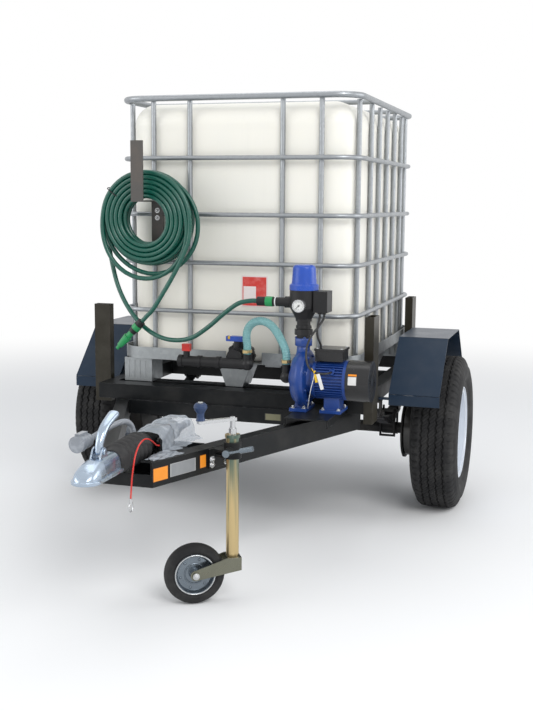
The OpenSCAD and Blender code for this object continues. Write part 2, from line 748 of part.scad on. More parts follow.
module filler_cap() {
  skirt_z = dish_floor + 4;
  lug_count = 8;
  color("#2a2c2e") place() translate([0, filler_y, 0]) difference() {
    union() {
      translate([0, 0, skirt_z]) cylinder(d = cap_d - 8, h = neck_top + 10 - skirt_z);
      for (k = [0 : lug_count - 1]) rotate([0, 0, 360 * k / lug_count])
        block([cap_d / 2 - 12, -7, skirt_z], [cap_d / 2, 7, neck_top + 4]);
    }
    translate([0, 0, skirt_z - 1]) cylinder(r = neck_r + seat, h = neck_top - skirt_z + 1 + seat);
  }
}

// A closed hoop of round tube with round corners, lying level
module hoop(w, d, r, tube) {
  for (s = [-1, 1]) {
    rod_x(-w / 2 + r, w / 2 - r, s * d / 2, 0, tube);
    rod_y(s * w / 2, -d / 2 + r, d / 2 - r, 0, tube);
  }
  for (k = [0 : 3]) {
    sx = (k == 0 || k == 3) ? 1 : -1;
    sy = k < 2 ? 1 : -1;
    translate([sx * (w / 2 - r), sy * (d / 2 - r), 0]) rotate([0, 0, 90 * k])
      rotate_extrude(angle = 90) translate([r, 0]) circle(d = tube);
  }
}

module cage_hoops() {
  bar_d = 20;
  color("#8d9298") place() {
    translate([0, cage_d / 2, 0]) {
      for (z = hoop_z) translate([0, 0, z])
        hoop(cage_w - hoop_d, cage_d - hoop_d, cage_corner_r - hoop_d / 2, hoop_d);
      translate([0, 0, rim_z])
        hoop(cage_w - rim_tube_d, cage_d - rim_tube_d, cage_corner_r - rim_tube_d / 2, rim_tube_d);
    }
    for (y = [cage_d / 2 - 250, cage_d / 2 + 250])
      rod_x(-cage_w / 2 + rim_tube_d + seat, cage_w / 2 - rim_tube_d - seat, y, rim_z, bar_d);
  }
}

module cage_uprights() {
  beside = hoop_d + seat - rim_tube_d / 2;
  top = rim_z - sqrt(max(0, pow(rim_tube_d / 2, 2) - pow(beside, 2))) - seat;
  bottom = tray_z + tray_t;
  color("#8d9298") place() {
    for (x = front_upright_x, s = [-1, 1], y = [upright_in, cage_d - upright_in])
      rod_z(s * x, y, bottom, top, upright_d);
    for (y = side_upright_y, s = [-1, 1]) rod_z(s * (cage_w / 2 - upright_in), y, bottom, top, upright_d);
  }
}

module pallet_tray() {
  cut_w = 150;
  color("#9a9fa5") place() difference() {
    translate([0, cage_d / 2, tray_z]) linear_extrude(tray_t + tray_rim_h)
      round_rect(cage_w, cage_d, cage_corner_r);
    translate([0, cage_d / 2, tray_z + tray_t]) linear_extrude(tray_rim_h + 1)
      round_rect(cage_w - 2 * tray_t, cage_d - 2 * tray_t, cage_corner_r - tray_t);
    block([outlet_x - cut_w / 2, -1, tray_z + tray_t],
          [outlet_x + cut_w / 2, tray_t + 5, tray_z + tray_rim_h + 10]);
  }
}

module pallet_feet() {
  foot_w = 121;
  foot_d = 110;
  foot_x = cage_w / 2 - 83;
  sheet = 3;
  flute_d = 16;
  v_top = 70;
  v_base = 35;
  color("#a4a9ae") place() {
    for (s = [-1, 1], y = [foot_row_y[0], foot_row_y[2]]) translate([s * foot_x, y, deck_z]) difference() {
      block([-foot_w / 2, -foot_d / 2, 0], [foot_w / 2, foot_d / 2, foot_h]);
      block([-foot_w / 2 + sheet, -foot_d / 2 + sheet, sheet],
            [foot_w / 2 - sheet, foot_d / 2 - sheet, foot_h + 1]);
      for (x = [-36, -12, 12, 36], e = [-1, 1])
        rod_z(x, e * (foot_d / 2 + flute_d / 2 - 2), 12, foot_h - 12, flute_d);
    }
    for (spot = concat([for (y = foot_row_y) [0, y]], [for (s = [-1, 1]) [s * foot_x, foot_row_y[1]]]))
      translate([spot.x, spot.y, deck_z]) difference() {
        front_plate([[-v_base, 0], [v_base, 0], [v_top, foot_h], [-v_top, foot_h]], -foot_d / 2, foot_d / 2);
        front_plate([[-v_base + sheet, sheet], [v_base - sheet, sheet], [v_top - sheet - 1, foot_h + 1],
                     [-v_top + sheet + 1, foot_h + 1]], -foot_d / 2 + sheet, foot_d / 2 - sheet);
      }
  }
}

// Outlet

module outlet_valve() {
  collar_y = [-42, outlet_end_y - seat];
  body_y = -96;
  grip_count = 12;
  color("#1c1d1f") place() {
    difference() {
      union() {
        rod_y(outlet_x, collar_y[0], collar_y[1], outlet_z, 104);
        for (k = [0 : grip_count - 1]) translate([outlet_x, 0, outlet_z]) rotate([0, 360 * k / grip_count, 0])
          block([48, collar_y[0] + 3, -6], [56, collar_y[1] - 3, 6]);
        rod_y(outlet_x, body_y, collar_y[0] + 1, outlet_z, 76);
        rod_z(outlet_x, stem_y, outlet_z, stem_top, 34);
      }
      rod_y(outlet_x, body_y - 1, collar_y[1] + 1, outlet_z, 2 * outlet_r - 18);
      rod_z(outlet_x, stem_y, outlet_z + 30, stem_top + 1, stem_d);
    }
  }
}

module valve_handle() {
  color("#2450b8") place() {
    rod_z(outlet_x, stem_y, outlet_z + 32, stem_top + 12, stem_d - 2 * run);
    difference() {
      block([outlet_x - 46, stem_y - 14, stem_top + seat], [outlet_x + 46, stem_y + 14, stem_top + 20]);
      for (s = [-1, 1])
        block([outlet_x + s * 34 - 5, stem_y - 15, stem_top + 8],
              [outlet_x + s * 34 + 5, stem_y + 15, stem_top + 21]);
    }
  }
}

module outlet_pipe() {
  ring_count = 3;
  shoulder = 36;
  color("#1a1b1d") place() {
    difference() {
      union() {
        rod_x(manifold_x, elbow_x, manifold_y, manifold_z, manifold_d);
        rod_y(outlet_x, manifold_y, -96 - seat, outlet_z, 64);
        rod_z(elbow_x, manifold_y, manifold_z, suction_route[0].z - cord_gap, shoulder);
        translate([elbow_x, manifold_y, manifold_z]) sphere(d = manifold_d + 6);
        for (k = [0 : ring_count - 1])
          rod_x(manifold_x + 2 + 78 * k, manifold_x + 18 + 78 * k, manifold_y, manifold_z, manifold_d + 7);
        rod_z(tap_x, manifold_y, manifold_z, tap_top, 26);
        rod_z(elbow_x, manifold_y, suction_route[0].z - 2, suction_route[0].z + 24, barb_d);
      }
      rod_z(tap_x, manifold_y, tap_top - 16, tap_top + 1, stem_d);
    }
    end = suction_route[len(suction_route) - 1];
    difference() {
      translate([end.x, end.y, pump_z]) sphere(d = 46);
      block([suction_face - seat, end.y - 30, pump_z - 30], [suction_face + 30, end.y + 30, pump_z + 30]);
    }
    rod_z(end.x, end.y, pump_z, end.z - cord_gap, shoulder - 4);
    rod_z(end.x, end.y, end.z - 2, end.z + 16, barb_d);
    rod_x(end.x, suction_face - seat, end.y, pump_z, 40);
  }
}

module tap_handle() {
  color("#d8352c") place() {
    rod_z(tap_x, manifold_y, tap_top - 14, tap_top + 6, stem_d - 2 * run);
    block([tap_x - 16, manifold_y - 11, tap_top + seat], [tap_x + 16, manifold_y + 11, tap_top + 28]);
  }
}

module suction_hose() {
  rings = 2 * suction_ribs;
  color("#9fd3cf") place()
    ribbed_along(even(smooth(suction_route, 8), rings), suction_d, 1.6, suction_bore, 8, [0, 1, 0], 6);
}

module hose_clamps() {
  band_w = 11;
  last = len(suction_route) - 1;
  color("#c2a368") place() for (spot = [suction_route[0] + [0, 0, 6], suction_route[last] + [0, 0, 6]])
    translate(spot) {
      difference() {
        cylinder(d = suction_d + 5, h = band_w);
        translate([0, 0, -1]) cylinder(d = suction_d + 2 * seat, h = band_w + 2);
      }
      block([-10, -suction_d / 2 - 10, 0], [10, -suction_d / 2 - 1.4, band_w]);
    }
}

// Pump set

module pump_casing() {
  back = 8;
  front = 6;
  foot_t = 14;
  rib_y = 26;
  color("#234fae") place() difference() {
    union() {
      rod_x(volute_x[0], volute_x[1], pump_y, pump_z, volute_d);
      rod_x(volute_x[0] + 10, volute_x[1] - 10, pump_y, pump_z, volute_d + 9);
      rod_x(suction_face, volute_x[0] + 1, pump_y, pump_z, 62);
      rod_x(volute_x[1] - 1, motor_x[0] - seat, pump_y, pump_z, 118);
      translate([discharge_x, pump_y, pump_z + 40]) cylinder(d1 = 66, d2 = 48, h = neck_z - pump_z - 40);
      translate([discharge_x, pump_y, neck_z - 1]) cylinder(d = 66, h = flange_z - neck_z + 1, $fn = 8);
      block([volute_x[0] - 4, pump_y - 62, shelf_z + seat], [volute_x[1] + 2, pump_y + 62, shelf_z + foot_t]);
      side_plate([[pump_y - 54, shelf_z + foot_t - 1], [pump_y + 54, shelf_z + foot_t - 1],
                  [pump_y + 34, pump_z - 40], [pump_y - 34, pump_z - 40]], volute_x[0] + 6, volute_x[1] - 6);
      for (s = [-1, 1]) side_plate([
        [pump_y + s * rib_y - 5, shelf_z + foot_t - 1], [pump_y + s * rib_y + 5, shelf_z + foot_t - 1],
        [pump_y + s * 12 + 4, neck_z - 6], [pump_y + s * 12 - 4, neck_z - 6]
      ], volute_x[0] - 6, volute_x[0] + 4);
    }
    rod_x(volute_x[0] + front, volute_x[1] - back, pump_y, pump_z, volute_d - 24);
    rod_x(suction_face - 1, volute_x[0] + front + 1, pump_y, pump_z, 30);
    rod_z(discharge_x, pump_y, pump_z + 60, flange_z + 1, 26);
    rod_x(volute_x[1] - back - 1, motor_x[0], pump_y, pump_z, pump_shaft_d + 2 * run);
  }
}

module motor_body() {
  core = motor_d / 2 - 9;
  fin_w = 3.4;
  foot_x = [424, 502];
  color("#234fae") place() {
    difference() {
      union() {
        translate([motor_x[0], pump_y, pump_z]) rotate([90, 0, 90]) linear_extrude(motor_x[1] - motor_x[0]) {
          circle(core);
          for (k = [0 : fin_count - 1]) rotate(360 * (k + 0.5) / fin_count)
            translate([0, -fin_w / 2]) square([motor_d / 2, fin_w]);
        }
        rod_x(motor_x[0], motor_x[0] + 12, pump_y, pump_z, motor_d);
        rod_x(motor_x[1] - 12, motor_x[1], pump_y, pump_z, motor_d);
        block([foot_x[0], pump_y - 58, shelf_z + seat], [foot_x[1], pump_y + 58, shelf_z + 12]);
        block([foot_x[0] + 10, pump_y - 34, shelf_z + 11], [foot_x[1] - 10, pump_y + 34, pump_z - core + 8]);
        rod_y(gland_x, pump_y - motor_d / 2 - 2, pump_y, gland_z, 20);
      }
      rod_x(motor_x[0] - 1, motor_x[1] + 1, pump_y, pump_z, pump_shaft_d + 2 * run);
    }
  }
}

module terminal_box() {
  z0 = pump_z + motor_d / 2 + seat;
  lid_h = 8;
  color("#25272a") place() {
    difference() {
      block([box_x[0], pump_y - 46, z0], [box_x[1], pump_y + 46, box_top - lid_h - 0.2]);
      block([box_x[0] + 3, pump_y - 43, z0 + 3], [box_x[1] - 3, pump_y + 43, box_top]);
    }
    difference() {
      block([box_x[0] - 3, pump_y - 49, box_top - lid_h], [box_x[1] + 3, pump_y + 49, box_top]);
      rod_z(box_cable[len(box_cable) - 1].x, box_cable[len(box_cable) - 1].y, box_top - 20, box_top + 1, 9);
    }
  }
}

module fan_cover() {
  slot_count = 28;
  t = 2.5;
  d = motor_d + 6;
  color("#3a3c3f") place() translate([motor_x[1] + seat, pump_y, pump_z]) rotate([0, 90, 0]) difference() {
    cylinder(d = d, h = fan_x - motor_x[1] - seat);
    translate([0, 0, -1]) cylinder(d = d - 2 * t, h = fan_x - motor_x[1] - seat - t + 1);
    for (k = [0 : slot_count - 1]) rotate([0, 0, 360 * k / slot_count])
      block([22, -2, fan_x - motor_x[1] - 10], [d / 2 - 12, 2, fan_x]);
  }
}

module pump_rotor() {
  impeller = [volute_x[0] + 12, volute_x[0] + 26];
  fan_blades = 8;
  color("#b9bec4") place() {
    rod_x(impeller[0] - 4, fan_x - 14, pump_y, pump_z, pump_shaft_d);
    difference() {
      rod_x(impeller[0], impeller[1], pump_y, pump_z, volute_d - 50);
      for (k = [0 : 5]) translate([0, pump_y, pump_z]) rotate([60 * k, 0, 0])
        block([impeller[0] + 4, 26, -9], [impeller[1] - 4, volute_d, 9]);
    }
    translate([fan_x - 52, pump_y, pump_z]) rotate([0, 90, 0]) {
      translate([0, 0, -3]) cylinder(d = 34, h = 30);
      for (k = [0 : fan_blades - 1]) rotate([0, 0, 360 * k / fan_blades]) block([14, -1.5, 0], [56, 1.5, 24]);
    }
  }
}

module riser_union() {
  z0 = flange_z + seat;
  color("#1b1c1e") place() translate([discharge_x, pump_y, 0]) difference() {
    union() {
      translate([0, 0, z0]) cylinder(d = 50, h = union_z - seat - z0);
      translate([0, 0, z0 + 12]) cylinder(d = 70, h = 20, $fn = 8);
      translate([0, 0, z0 + 36]) cylinder(d = 58, h = 10);
    }
    translate([0, 0, z0 - 1]) cylinder(d = 26, h = 100);
  }
}

module controller_body() {
  h = body_z - union_z;
  r = controller_d / 2;
  color("#1d1e20") place() {
    translate([discharge_x, pump_y, union_z]) rotate_extrude()
      polygon([[0, 0], [30, 0], [30, 8], [r - 10, 34], [r - 2, 48], [r, 60], [r, h], [0, h]]);
    rod_x(nipple_x, discharge_x, pump_y, nipple_z, 33);
    rod_x(discharge_x - r - 18, discharge_x, pump_y, nipple_z, 42);
    block([discharge_x + r - 8, pump_y - 38, union_z + 36], [discharge_x + r + 44, pump_y + 38, body_z - 2]);
    rod_z(box_cable[0].x, box_cable[0].y, union_z + 30, union_z + 37, 15);
    rod_z(motor_cable[0].x, motor_cable[0].y, union_z + 30, union_z + 37, 15);
  }
}

module controller_dome() {
  skirt_r = controller_d / 2 + 1;
  r = dome_d / 2;
  h = dome_z - body_z - seat;
  color("#1f56d8") place() translate([discharge_x, pump_y, body_z + seat]) rotate_extrude()
    polygon(concat(
      [[0, 0], [skirt_r, 0], [skirt_r, 18], [r, 24], [r - 4, h - 14]],
      [for (a = [0 : 15 : 90]) [r - 18 + 14 * cos(a), h - 14 + 14 * sin(a)]],
      [[0, h]]
    ));
}

module gauge_case() {
  back_y = pump_y - controller_d / 2 - seat;
  color("#d9dbdc") place() difference() {
    union() {
      difference() {
        rod_y(discharge_x, back_y - 26, back_y, gauge_z, gauge_d);
        rod_y(discharge_x, back_y - 27, back_y - 20, gauge_z, gauge_d - 6);
      }
      rod_y(discharge_x, back_y - 24.5, back_y - 19, gauge_z, 2.4);
    }
  }
}

module gauge_needle() {
  y = pump_y - controller_d / 2 - seat - 22.5;
  color("#202020") place() difference() {
    union() {
      rod_y(discharge_x, y - 1, y + 1, gauge_z, 7);
      translate([discharge_x, 0, gauge_z]) rotate([0, 135, 0])
        block([-7, y - 0.5, -0.9], [gauge_d / 2 - 7, y + 0.5, 0.9]);
    }
    rod_y(discharge_x, y - 2, y + 2, gauge_z, 2.4 + 2 * run);
  }
}

module pump_cables() {
  cable_d = 8;
  color("#17181a") place() {
    tube_along(even(smooth(box_cable, 6), 12), cable_d, 8, [0, 1, 0]);
    tube_along(even(smooth(motor_cable, 6), 16), cable_d, 8, [0.3, 1, 0.1]);
  }
}

// Garden hose

module hose_hanger() {
  back_z = [hoop_z[1] - 148, hanger_top];
  bolt_d = 9;
  x0 = hanger_x - hanger_w / 2;
  x1 = hanger_x + hanger_w / 2;
  color("#24211e") place() {
    block([x0, -hanger_t - seat, back_z[0]], [x1, -seat, back_z[1]]);
    block([x0, lip_y, hanger_top - hanger_t], [x1, -seat, hanger_top]);
    block([x0, lip_y - hanger_t, hanger_top - hanger_t], [x1, lip_y, hanger_top + 224]);
    block([hanger_x - hanger_plate_w / 2, hoop_d + seat, hoop_z[1] - 24],
          [hanger_x + hanger_plate_w / 2, hoop_d + seat + 5, hoop_z[1] + 24]);
    for (s = [-1, 1])
      rod_y(hanger_x, -hanger_t - 8, hoop_d + 13, hoop_z[1] + s * (hoop_d / 2 + bolt_d / 2 + 1), bolt_d);
  }
}

// One ring of the coil by its step: layers spiral in and out in turn, and climb in the half turn between
function coil_radius(i) =
  let (k = floor(i / layer_n), f = i / layer_n - k)
  coil_r - layer_turns * coil_pitch * (k % 2 == 0 ? f : 1 - f);
function coil_level(i) =
  let (near = round(i / layer_n), from = i - near * layer_n)
  near == 0 || near == coil_layers || abs(from) >= 6 ? floor(i / layer_n) : near - 0.5 + from / 12;
function coil_point(i) = [
  hanger_x - coil_radius(i) * cos(15 * i),
  coil_back_y - coil_pitch * min(coil_level(i), coil_layers - 1),
  coil_z + coil_radius(i) * sin(15 * i)
];
function coil_path() = [
  coil_start,
  for (i = [0 : coil_layers * layer_n]) coil_point(i),
  coil_end
];
module hose_coil() {
  color("#0f7a56") place() tube_along(coil_path(), hose_d, 6, [0, 1, 0]);
}

module hose_lead() {
  color("#0f7a56") place() tube_along(even(smooth(lead_route, 6), 26), hose_d, 10, [0, 1, 0]);
}

module hose_tail() {
  color("#0f7a56") place() tube_along(even(smooth(tail_route, 6), 13), hose_d, 10, [0, 1, 0]);
}

module hose_connectors() {
  tail_end = tail_route[len(tail_route) - 1];
  color("#1a8f4e") place() {
    rod_x(nut_x + cord_gap, 197, pump_y, nipple_z, 34);
    rod_x(197 - 1, 228, pump_y, nipple_z, 36);
    rod_x(228 - 1, nipple_x - seat, pump_y, nipple_z, 33);
    rod(tail_end + tail_dir * cord_gap, tail_end + tail_dir * 22, 32);
    rod(tail_end + tail_dir * 21, tail_end + tail_dir * 44, 34);
    rod(tail_end + tail_dir * 43, tail_end + tail_dir * nozzle_at, 30);
  }
}

module spray_nozzle() {
  tail_end = tail_route[len(tail_route) - 1];
  a = tail_end + tail_dir * (nozzle_at + seat);
  color("#16835a") place() {
    rod(a, a + tail_dir * 26, 24);
    translate(a + tail_dir * 25) rotate([0, acos(tail_dir.z), atan2(tail_dir.y, tail_dir.x)])
      cylinder(d1 = 34, d2 = 22, h = 52);
    rod(a + tail_dir * 76, a + tail_dir * 92, 14);
  }
}

// Jockey wheel

module at_jockey(turn) place() translate([jockey_x, jockey_y, 0]) rotate([0, 0, turn]) children();

module jockey_clamp() {
  reach = (jockey_x - arm_face(jockey_y)) * cos(arm_angle);
  ring_z = [clamp_z - 27, clamp_z + 27];
  color("#1b1d20") difference() {
    union() {
      at_jockey(-arm_angle) {
        rod_z(0, 0, ring_z[0], ring_z[1], jockey_tube_d + 16);
        block([seat - reach, -45, clamp_z - 66], [seat - reach + 8, 45, arm_top - 2]);
        for (z = [ring_z[0], arm_top - 10]) block([seat - reach, -24, z], [-22, 24, z + 7]);
      }
      at_jockey(0) rod_y(0, -boss_out, -jockey_tube_d / 2 - 4, clamp_z, 28);
    }
    at_jockey(0) {
      rod_z(0, 0, ring_z[0] - 1, ring_z[1] + 1, jockey_tube_d + 2 * run);
      rod_y(0, -boss_out - 1, -jockey_tube_d / 2, clamp_z, screw_d + 2 * run);
    }
  }
}

module clamp_lever() {
  hub_y = -boss_out - seat;
  tip = [84, hub_y - 8, clamp_z + 22];
  root = [0, hub_y - 8, clamp_z];
  color("#8f9497") at_jockey(0) {
    rod_y(0, hub_y - 1, -jockey_tube_d / 2 - 0.4, clamp_z, screw_d);
    rod_y(0, hub_y - 16, hub_y, clamp_z, 24);
    rod(root, tip, 9);
    rod(root + 0.55 * (tip - root), tip + 0.06 * (tip - root), 17);
  }
}

module jockey_tube() {
  bore = jockey_tube_d - 2 * tube_wall_jockey;
  color("#b5b08c") at_jockey(0) difference() {
    union() {
      rod_z(0, 0, tube_bottom, tube_top - 9, jockey_tube_d);
      rod_z(0, 0, tube_top - 10, tube_top, jockey_tube_d + 8);
    }
    rod_z(0, 0, tube_bottom - 1, tube_top - 10, bore);
    rod_z(0, 0, tube_top - 11, tube_top + 1, spindle_d + 2 * run);
  }
}

module jockey_crank() {
  color("#a3a7aa") at_jockey(crank_turn) {
    rod_z(0, 0, spindle_bottom, crank_z + 8, spindle_d);
    rod_z(0, 0, tube_top + seat, tube_top + 20, 25);
    block([-11, -9, crank_z - 5], [crank_len + 9, 9, crank_z + 5]);
    rod_z(crank_len, 0, crank_z, crank_z + grip_h + 8, grip_pin_d);
    rod_z(crank_len, 0, crank_z + 6 + grip_h + seat, crank_z + 10 + grip_h, 16);
  }
}

module jockey_grip() {
  color("#1d63d1") at_jockey(crank_turn) translate([crank_len, 0, crank_z + 5 + seat]) rotate_extrude()
    polygon([
      [grip_pin_d / 2 + run, 0], [15, 0], [12, 12], [12, 24], [18, 34], [22, 42], [21, 50],
      [16, grip_h], [grip_pin_d / 2 + run, grip_h]
    ]);
}

module jockey_leg() {
  color("#b8b493") at_jockey(0) difference() {
    rod_z(0, 0, yoke_z + seat, leg_top, leg_d);
    rod_z(0, 0, yoke_z, yoke_z + swivel_h + 2, swivel_d + 2 * run);
    rod_z(0, 0, yoke_z + swivel_h + 6, leg_top - 28, spindle_d + 8);
    rod_z(0, 0, leg_top - 29, leg_top + 1, spindle_d + 2 * run);
  }
}

module jockey_fork() {
  gap = jockey_w / 2 + 5;
  sheet = 4;
  boss_r = 17;
  color("#a9adb0") at_jockey(jockey_yaw) {
    rod_z(0, 0, yoke_z - 3, yoke_z + swivel_h, swivel_d);
    block([-24, -gap - sheet, yoke_z - 6], [22, gap + sheet, yoke_z]);
    block([-24, -gap - sheet, yoke_z - 43], [-24 + sheet, gap + sheet, yoke_z]);
    for (y = [-gap - sheet, gap]) translate([0, y + sheet, 0]) rotate([90, 0, 0]) linear_extrude(sheet) {
      polygon([
        [-24, yoke_z - 43], [-24, yoke_z], [22, yoke_z], [jockey_trail + 4, jockey_axle_z + boss_r - 1],
        [jockey_trail, jockey_axle_z - boss_r]
      ]);
      translate([jockey_trail, jockey_axle_z]) circle(boss_r);
    }
    rod_y(jockey_trail, -gap - sheet - 4, gap + sheet + 4, jockey_axle_z, jockey_pin_d);
    for (s = [-1, 1])
      rod_y(jockey_trail, s * (gap + sheet + 3) - 3.5, s * (gap + sheet + 3) + 3.5, jockey_axle_z, 22);
  }
}

module at_jockey_axle()
  at_jockey(jockey_yaw) translate([jockey_trail, 0, jockey_axle_z]) rotate([-90, 0, 0]) children();

module jockey_rim() {
  w = jockey_w - 6;
  r = jockey_d / 2 - 32;
  color("#b9bdc0") at_jockey_axle() rotate_extrude() polygon([
    [jockey_pin_d / 2 + run, -jockey_w / 2 - 3], [18, -jockey_w / 2 - 3], [18, -8], [r - 12, -8],
    [r - 6, -w / 2],
    [r, -w / 2], [r, w / 2], [r - 6, w / 2], [r - 12, 8], [18, 8], [18, jockey_w / 2 + 3],
    [jockey_pin_d / 2 + run, jockey_w / 2 + 3]
  ]);
}

module jockey_tyre() {
  r = jockey_d / 2;
  bead = r - 32 + seat;
  h = jockey_w / 2;
  color("#232526") at_jockey_axle() rotate_extrude() polygon(concat(
    [[bead, h - 5], [bead, 5 - h], [bead + 8, -h]],
    [for (a = [-60 : 15 : 60]) [r - 16 + 16 * cos(a) / cos(0), h * sin(a) / sin(60) * 0.96]],
    [[bead + 8, h]]
  ));
}

// Overrun coupling

// A flat bar with round ends, drawn in a plane
module link_2d(a, ra, b, rb) {
  n = [a.y - b.y, b.x - a.x] / norm(b - a);
  translate(a) circle(ra);
  translate(b) circle(rb);
  polygon([a + ra * n, a - ra * n, b - rb * n, b + rb * n]);
}

module overrun_housing() {
  plate_inner = plate_t / cos(arm_angle);
  function half_at(y) = arm_face(y) - plate_inner;
  brace = arm_face(housing_y[1] - 26) - (plate_t + weld + arm_w) / cos(arm_angle) - 15;
  color("#1a1c1f") place() difference() {
    union() {
      mirrored() translate([0, 0, arm_bottom]) linear_extrude(arm_h)
        arm_plan(housing_y[0], housing_y[1], 0, plate_t);
      for (z = [arm_bottom, arm_top - plate_t]) {
        y0 = z == arm_bottom ? housing_y[0] : tube_y[0] + 25;
        y1 = arm_start_y - 2;
        translate([0, 0, z]) linear_extrude(plate_t) polygon([
          [-half_at(y0) - 1, y0], [half_at(y0) + 1, y0], [half_at(y1) + 1, y1], [-half_at(y1) - 1, y1]
        ]);
      }
      block([-half_at(housing_y[0]) - 4, housing_y[0], arm_bottom],
            [half_at(housing_y[0]) + 4, housing_y[0] + plate_t, arm_bottom + 40]);
      rod_y(0, tube_y[0], tube_y[1], coupling_z, tube_od);
      for (y = [tube_y[0] + 30, arm_start_y - 30])
        block([-34, y, arm_bottom + 1], [34, y + 8, coupling_z - 26]);
      block([-brace, housing_y[1] - 26, arm_top - 30], [brace, housing_y[1] - 18, arm_top - 4]);
      block([lever_x[1] + 2, pivot.x - 24, arm_top - 2], [lever_x[1] + 8, pivot.x + 20, pivot.y + 16]);
      rod_x(lever_x[0] - seat, lever_x[1] + 3, pivot.x, pivot.y, pivot_d);
      rod_x(lever_x[0] - 5, lever_x[0] - seat, pivot.x, pivot.y, pivot_d + 8);
      rod_z(lead_end.x, lead_end.y, arm_top - 2, lead_end.z - cord_gap, lead_d + 9);
    }
    rod_y(0, tube_y[0] - 1, tube_y[1] + 1, coupling_z, shaft_d + 2 * run);
  }
}

module coupling_head() {
  tip = -coupling_reach;
  ball_y = tip + 45;
  rear = tip + 205;
  low = coupling_z - 28;
  ear_x = 12.3;
  color("#93a3b8") place() difference() {
    union() {
      translate([0, 0, low]) linear_extrude(11) {
        translate([0, ball_y]) circle(45);
        polygon([[-45, ball_y], [45, ball_y], [40, rear], [-40, rear]]);
      }
      hull() {
        translate([0, ball_y, low + 5]) cylinder(r = 36, h = 42);
        rod_y(0, rear - 30, rear, coupling_z, 62);
      }
      translate([0, ball_y, low + 46]) cylinder(r1 = 36, r2 = 24, h = 14);
      rod_y(0, rear - 2, collar_end, coupling_z, 62);
      rod_y(0, collar_end - 1, tube_y[1] - 20, coupling_z, shaft_d);
      for (s = [-1, 1]) side_plate([
        [handle_pivot.x - 40, coupling_z], [handle_pivot.x + 34, coupling_z],
        [handle_pivot.x + 12, handle_pivot.y + 12],
        [handle_pivot.x - 12, handle_pivot.y + 12]], s < 0 ? -ear_x - 5 : ear_x, s < 0 ? -ear_x : ear_x + 5);
      rod_x(-ear_x - 8, ear_x + 8, handle_pivot.x, handle_pivot.y, pivot_d - 2);
    }
    translate([0, ball_y, low - 1]) cylinder(r = socket_r, h = 46);
  }
}

module coupling_handle() {
  w = 24;
  path = [handle_pivot, handle_pivot + [10, 32], handle_pivot + [42, 66], handle_pivot + [104, 92]];
  radius = [13, 12, 11, 11];
  color("#7f8da0") place() difference() {
    translate([-w / 2, 0, 0]) rotate([90, 0, 90]) linear_extrude(w)
      for (k = [0 : 2]) link_2d(path[k], radius[k], path[k + 1], radius[k + 1]);
    rod_x(-w, w, handle_pivot.x, handle_pivot.y, pivot_d - 2 + 2 * run);
  }
}

module gaiter() {
  front = collar_end - 22;
  rear = tube_y[0] + 22;
  wall = 3;
  steps = 2 * gaiter_folds;
  fold = (tube_y[0] - 4 - collar_end) / steps;
  front_r = 31 + seat;
  rear_r = tube_od / 2 + seat;
  function fold_r(k) = gaiter_d / 2 - (k % 2 == 0 ? 9 : 0) - 4 * (1 - k / steps);
  color("#1b1c1d") place() translate([0, 0, coupling_z]) rotate([-90, 0, 0]) rotate_extrude() polygon(concat(
    [[front_r, front], [front_r + wall, front], [front_r + wall, collar_end - 3]],
    [for (k = [0 : steps]) [fold_r(k), collar_end + fold * k]],
    [[rear_r + wall, tube_y[0] + 2], [rear_r + wall, rear], [rear_r, rear], [rear_r, tube_y[0] - 1]],
    [for (k = [steps : -1 : 0])
      [fold_r(k) - wall, collar_end + fold * k + (k == 0 ? 2 : k == steps ? -2 : 0)]],
    [[front_r, collar_end + 1]]
  ));
}

module handbrake_lever() {
  path = [pivot, pivot + [110, 10], pivot + [228, 16]];
  color("#3c3f42") place() difference() {
    union() {
      translate([lever_x[0], 0, 0]) rotate([90, 0, 90]) linear_extrude(lever_x[1] - lever_x[0]) {
        link_2d(path[0], 17, path[1], 11);
        link_2d(path[1], 11, path[2], 11);
      }
      rod([(lever_x[0] + lever_x[1]) / 2, path[1].x + 20, path[1].y + 2],
          [(lever_x[0] + lever_x[1]) / 2, path[2].x + 12, path[2].y + 1], 24);
    }
    rod_x(lever_x[0] - 1, lever_x[1] + 1, pivot.x, pivot.y, pivot_d + 2 * run);
  }
}

module lever_wrap() {
  film = 2.5;
  side = [-42, 72];
  low = arm_top + seat;
  rise = [[438, 48], [472, 52], [622, 55], [682, 56], [702, 53], [710, 47], [722, 28]];
  edge = [for (r = rise) [tip_y + r.x, coupling_z + r.y]];
  front = edge[0].x;
  rear = edge[len(edge) - 1].x;
  color("#aeb6bb", 0.6) place() difference() {
    side_plate(concat([[front, low]], edge, [[rear, low]]), side[0], side[1]);
    side_plate(
      concat([[front - 16, low - 9], [front - 16, edge[0].y - film]], [for (e = edge) e - [film, film]],
             [[rear - film, low - 9]]),
      side[0] + film, side[1] - film
    );
  }
}

module breakaway_cable() {
  color("#b5251c") place() tube_along(even(smooth(breakaway_route, 6), 16), 5, 8, [1, 0, 0]);
}

module breakaway_clip() {
  end = breakaway_route[len(breakaway_route) - 1];
  color("#c3c7ca") place() translate(end) {
    rod_z(0, 0, -14, -seat, 8);
    translate([0, 0, -27]) rotate([0, 90, 0]) rotate_extrude() translate([14, 0]) circle(d = 4);
  }
}

module wiring_lead() {
  color("#1d1f22") place() tube_along(even(smooth(lead_conduit, 6), 16), lead_d, 10, [1, 0, 0.2]);
}

module wiring_plug() {
  end = lead_conduit[0];
  color("#222428") place() {
    rod_y(end.x, end.y - 20, end.y - cord_gap, end.z, 32);
    rod_y(end.x, end.y - 68, end.y - 19, end.z, 46);
    rod_y(end.x, end.y - 88, end.y - 67, end.z, 52);
    block([end.x - 9, end.y - 80, end.z + 20], [end.x + 9, end.y - 30, end.z + 31]);
  }
}

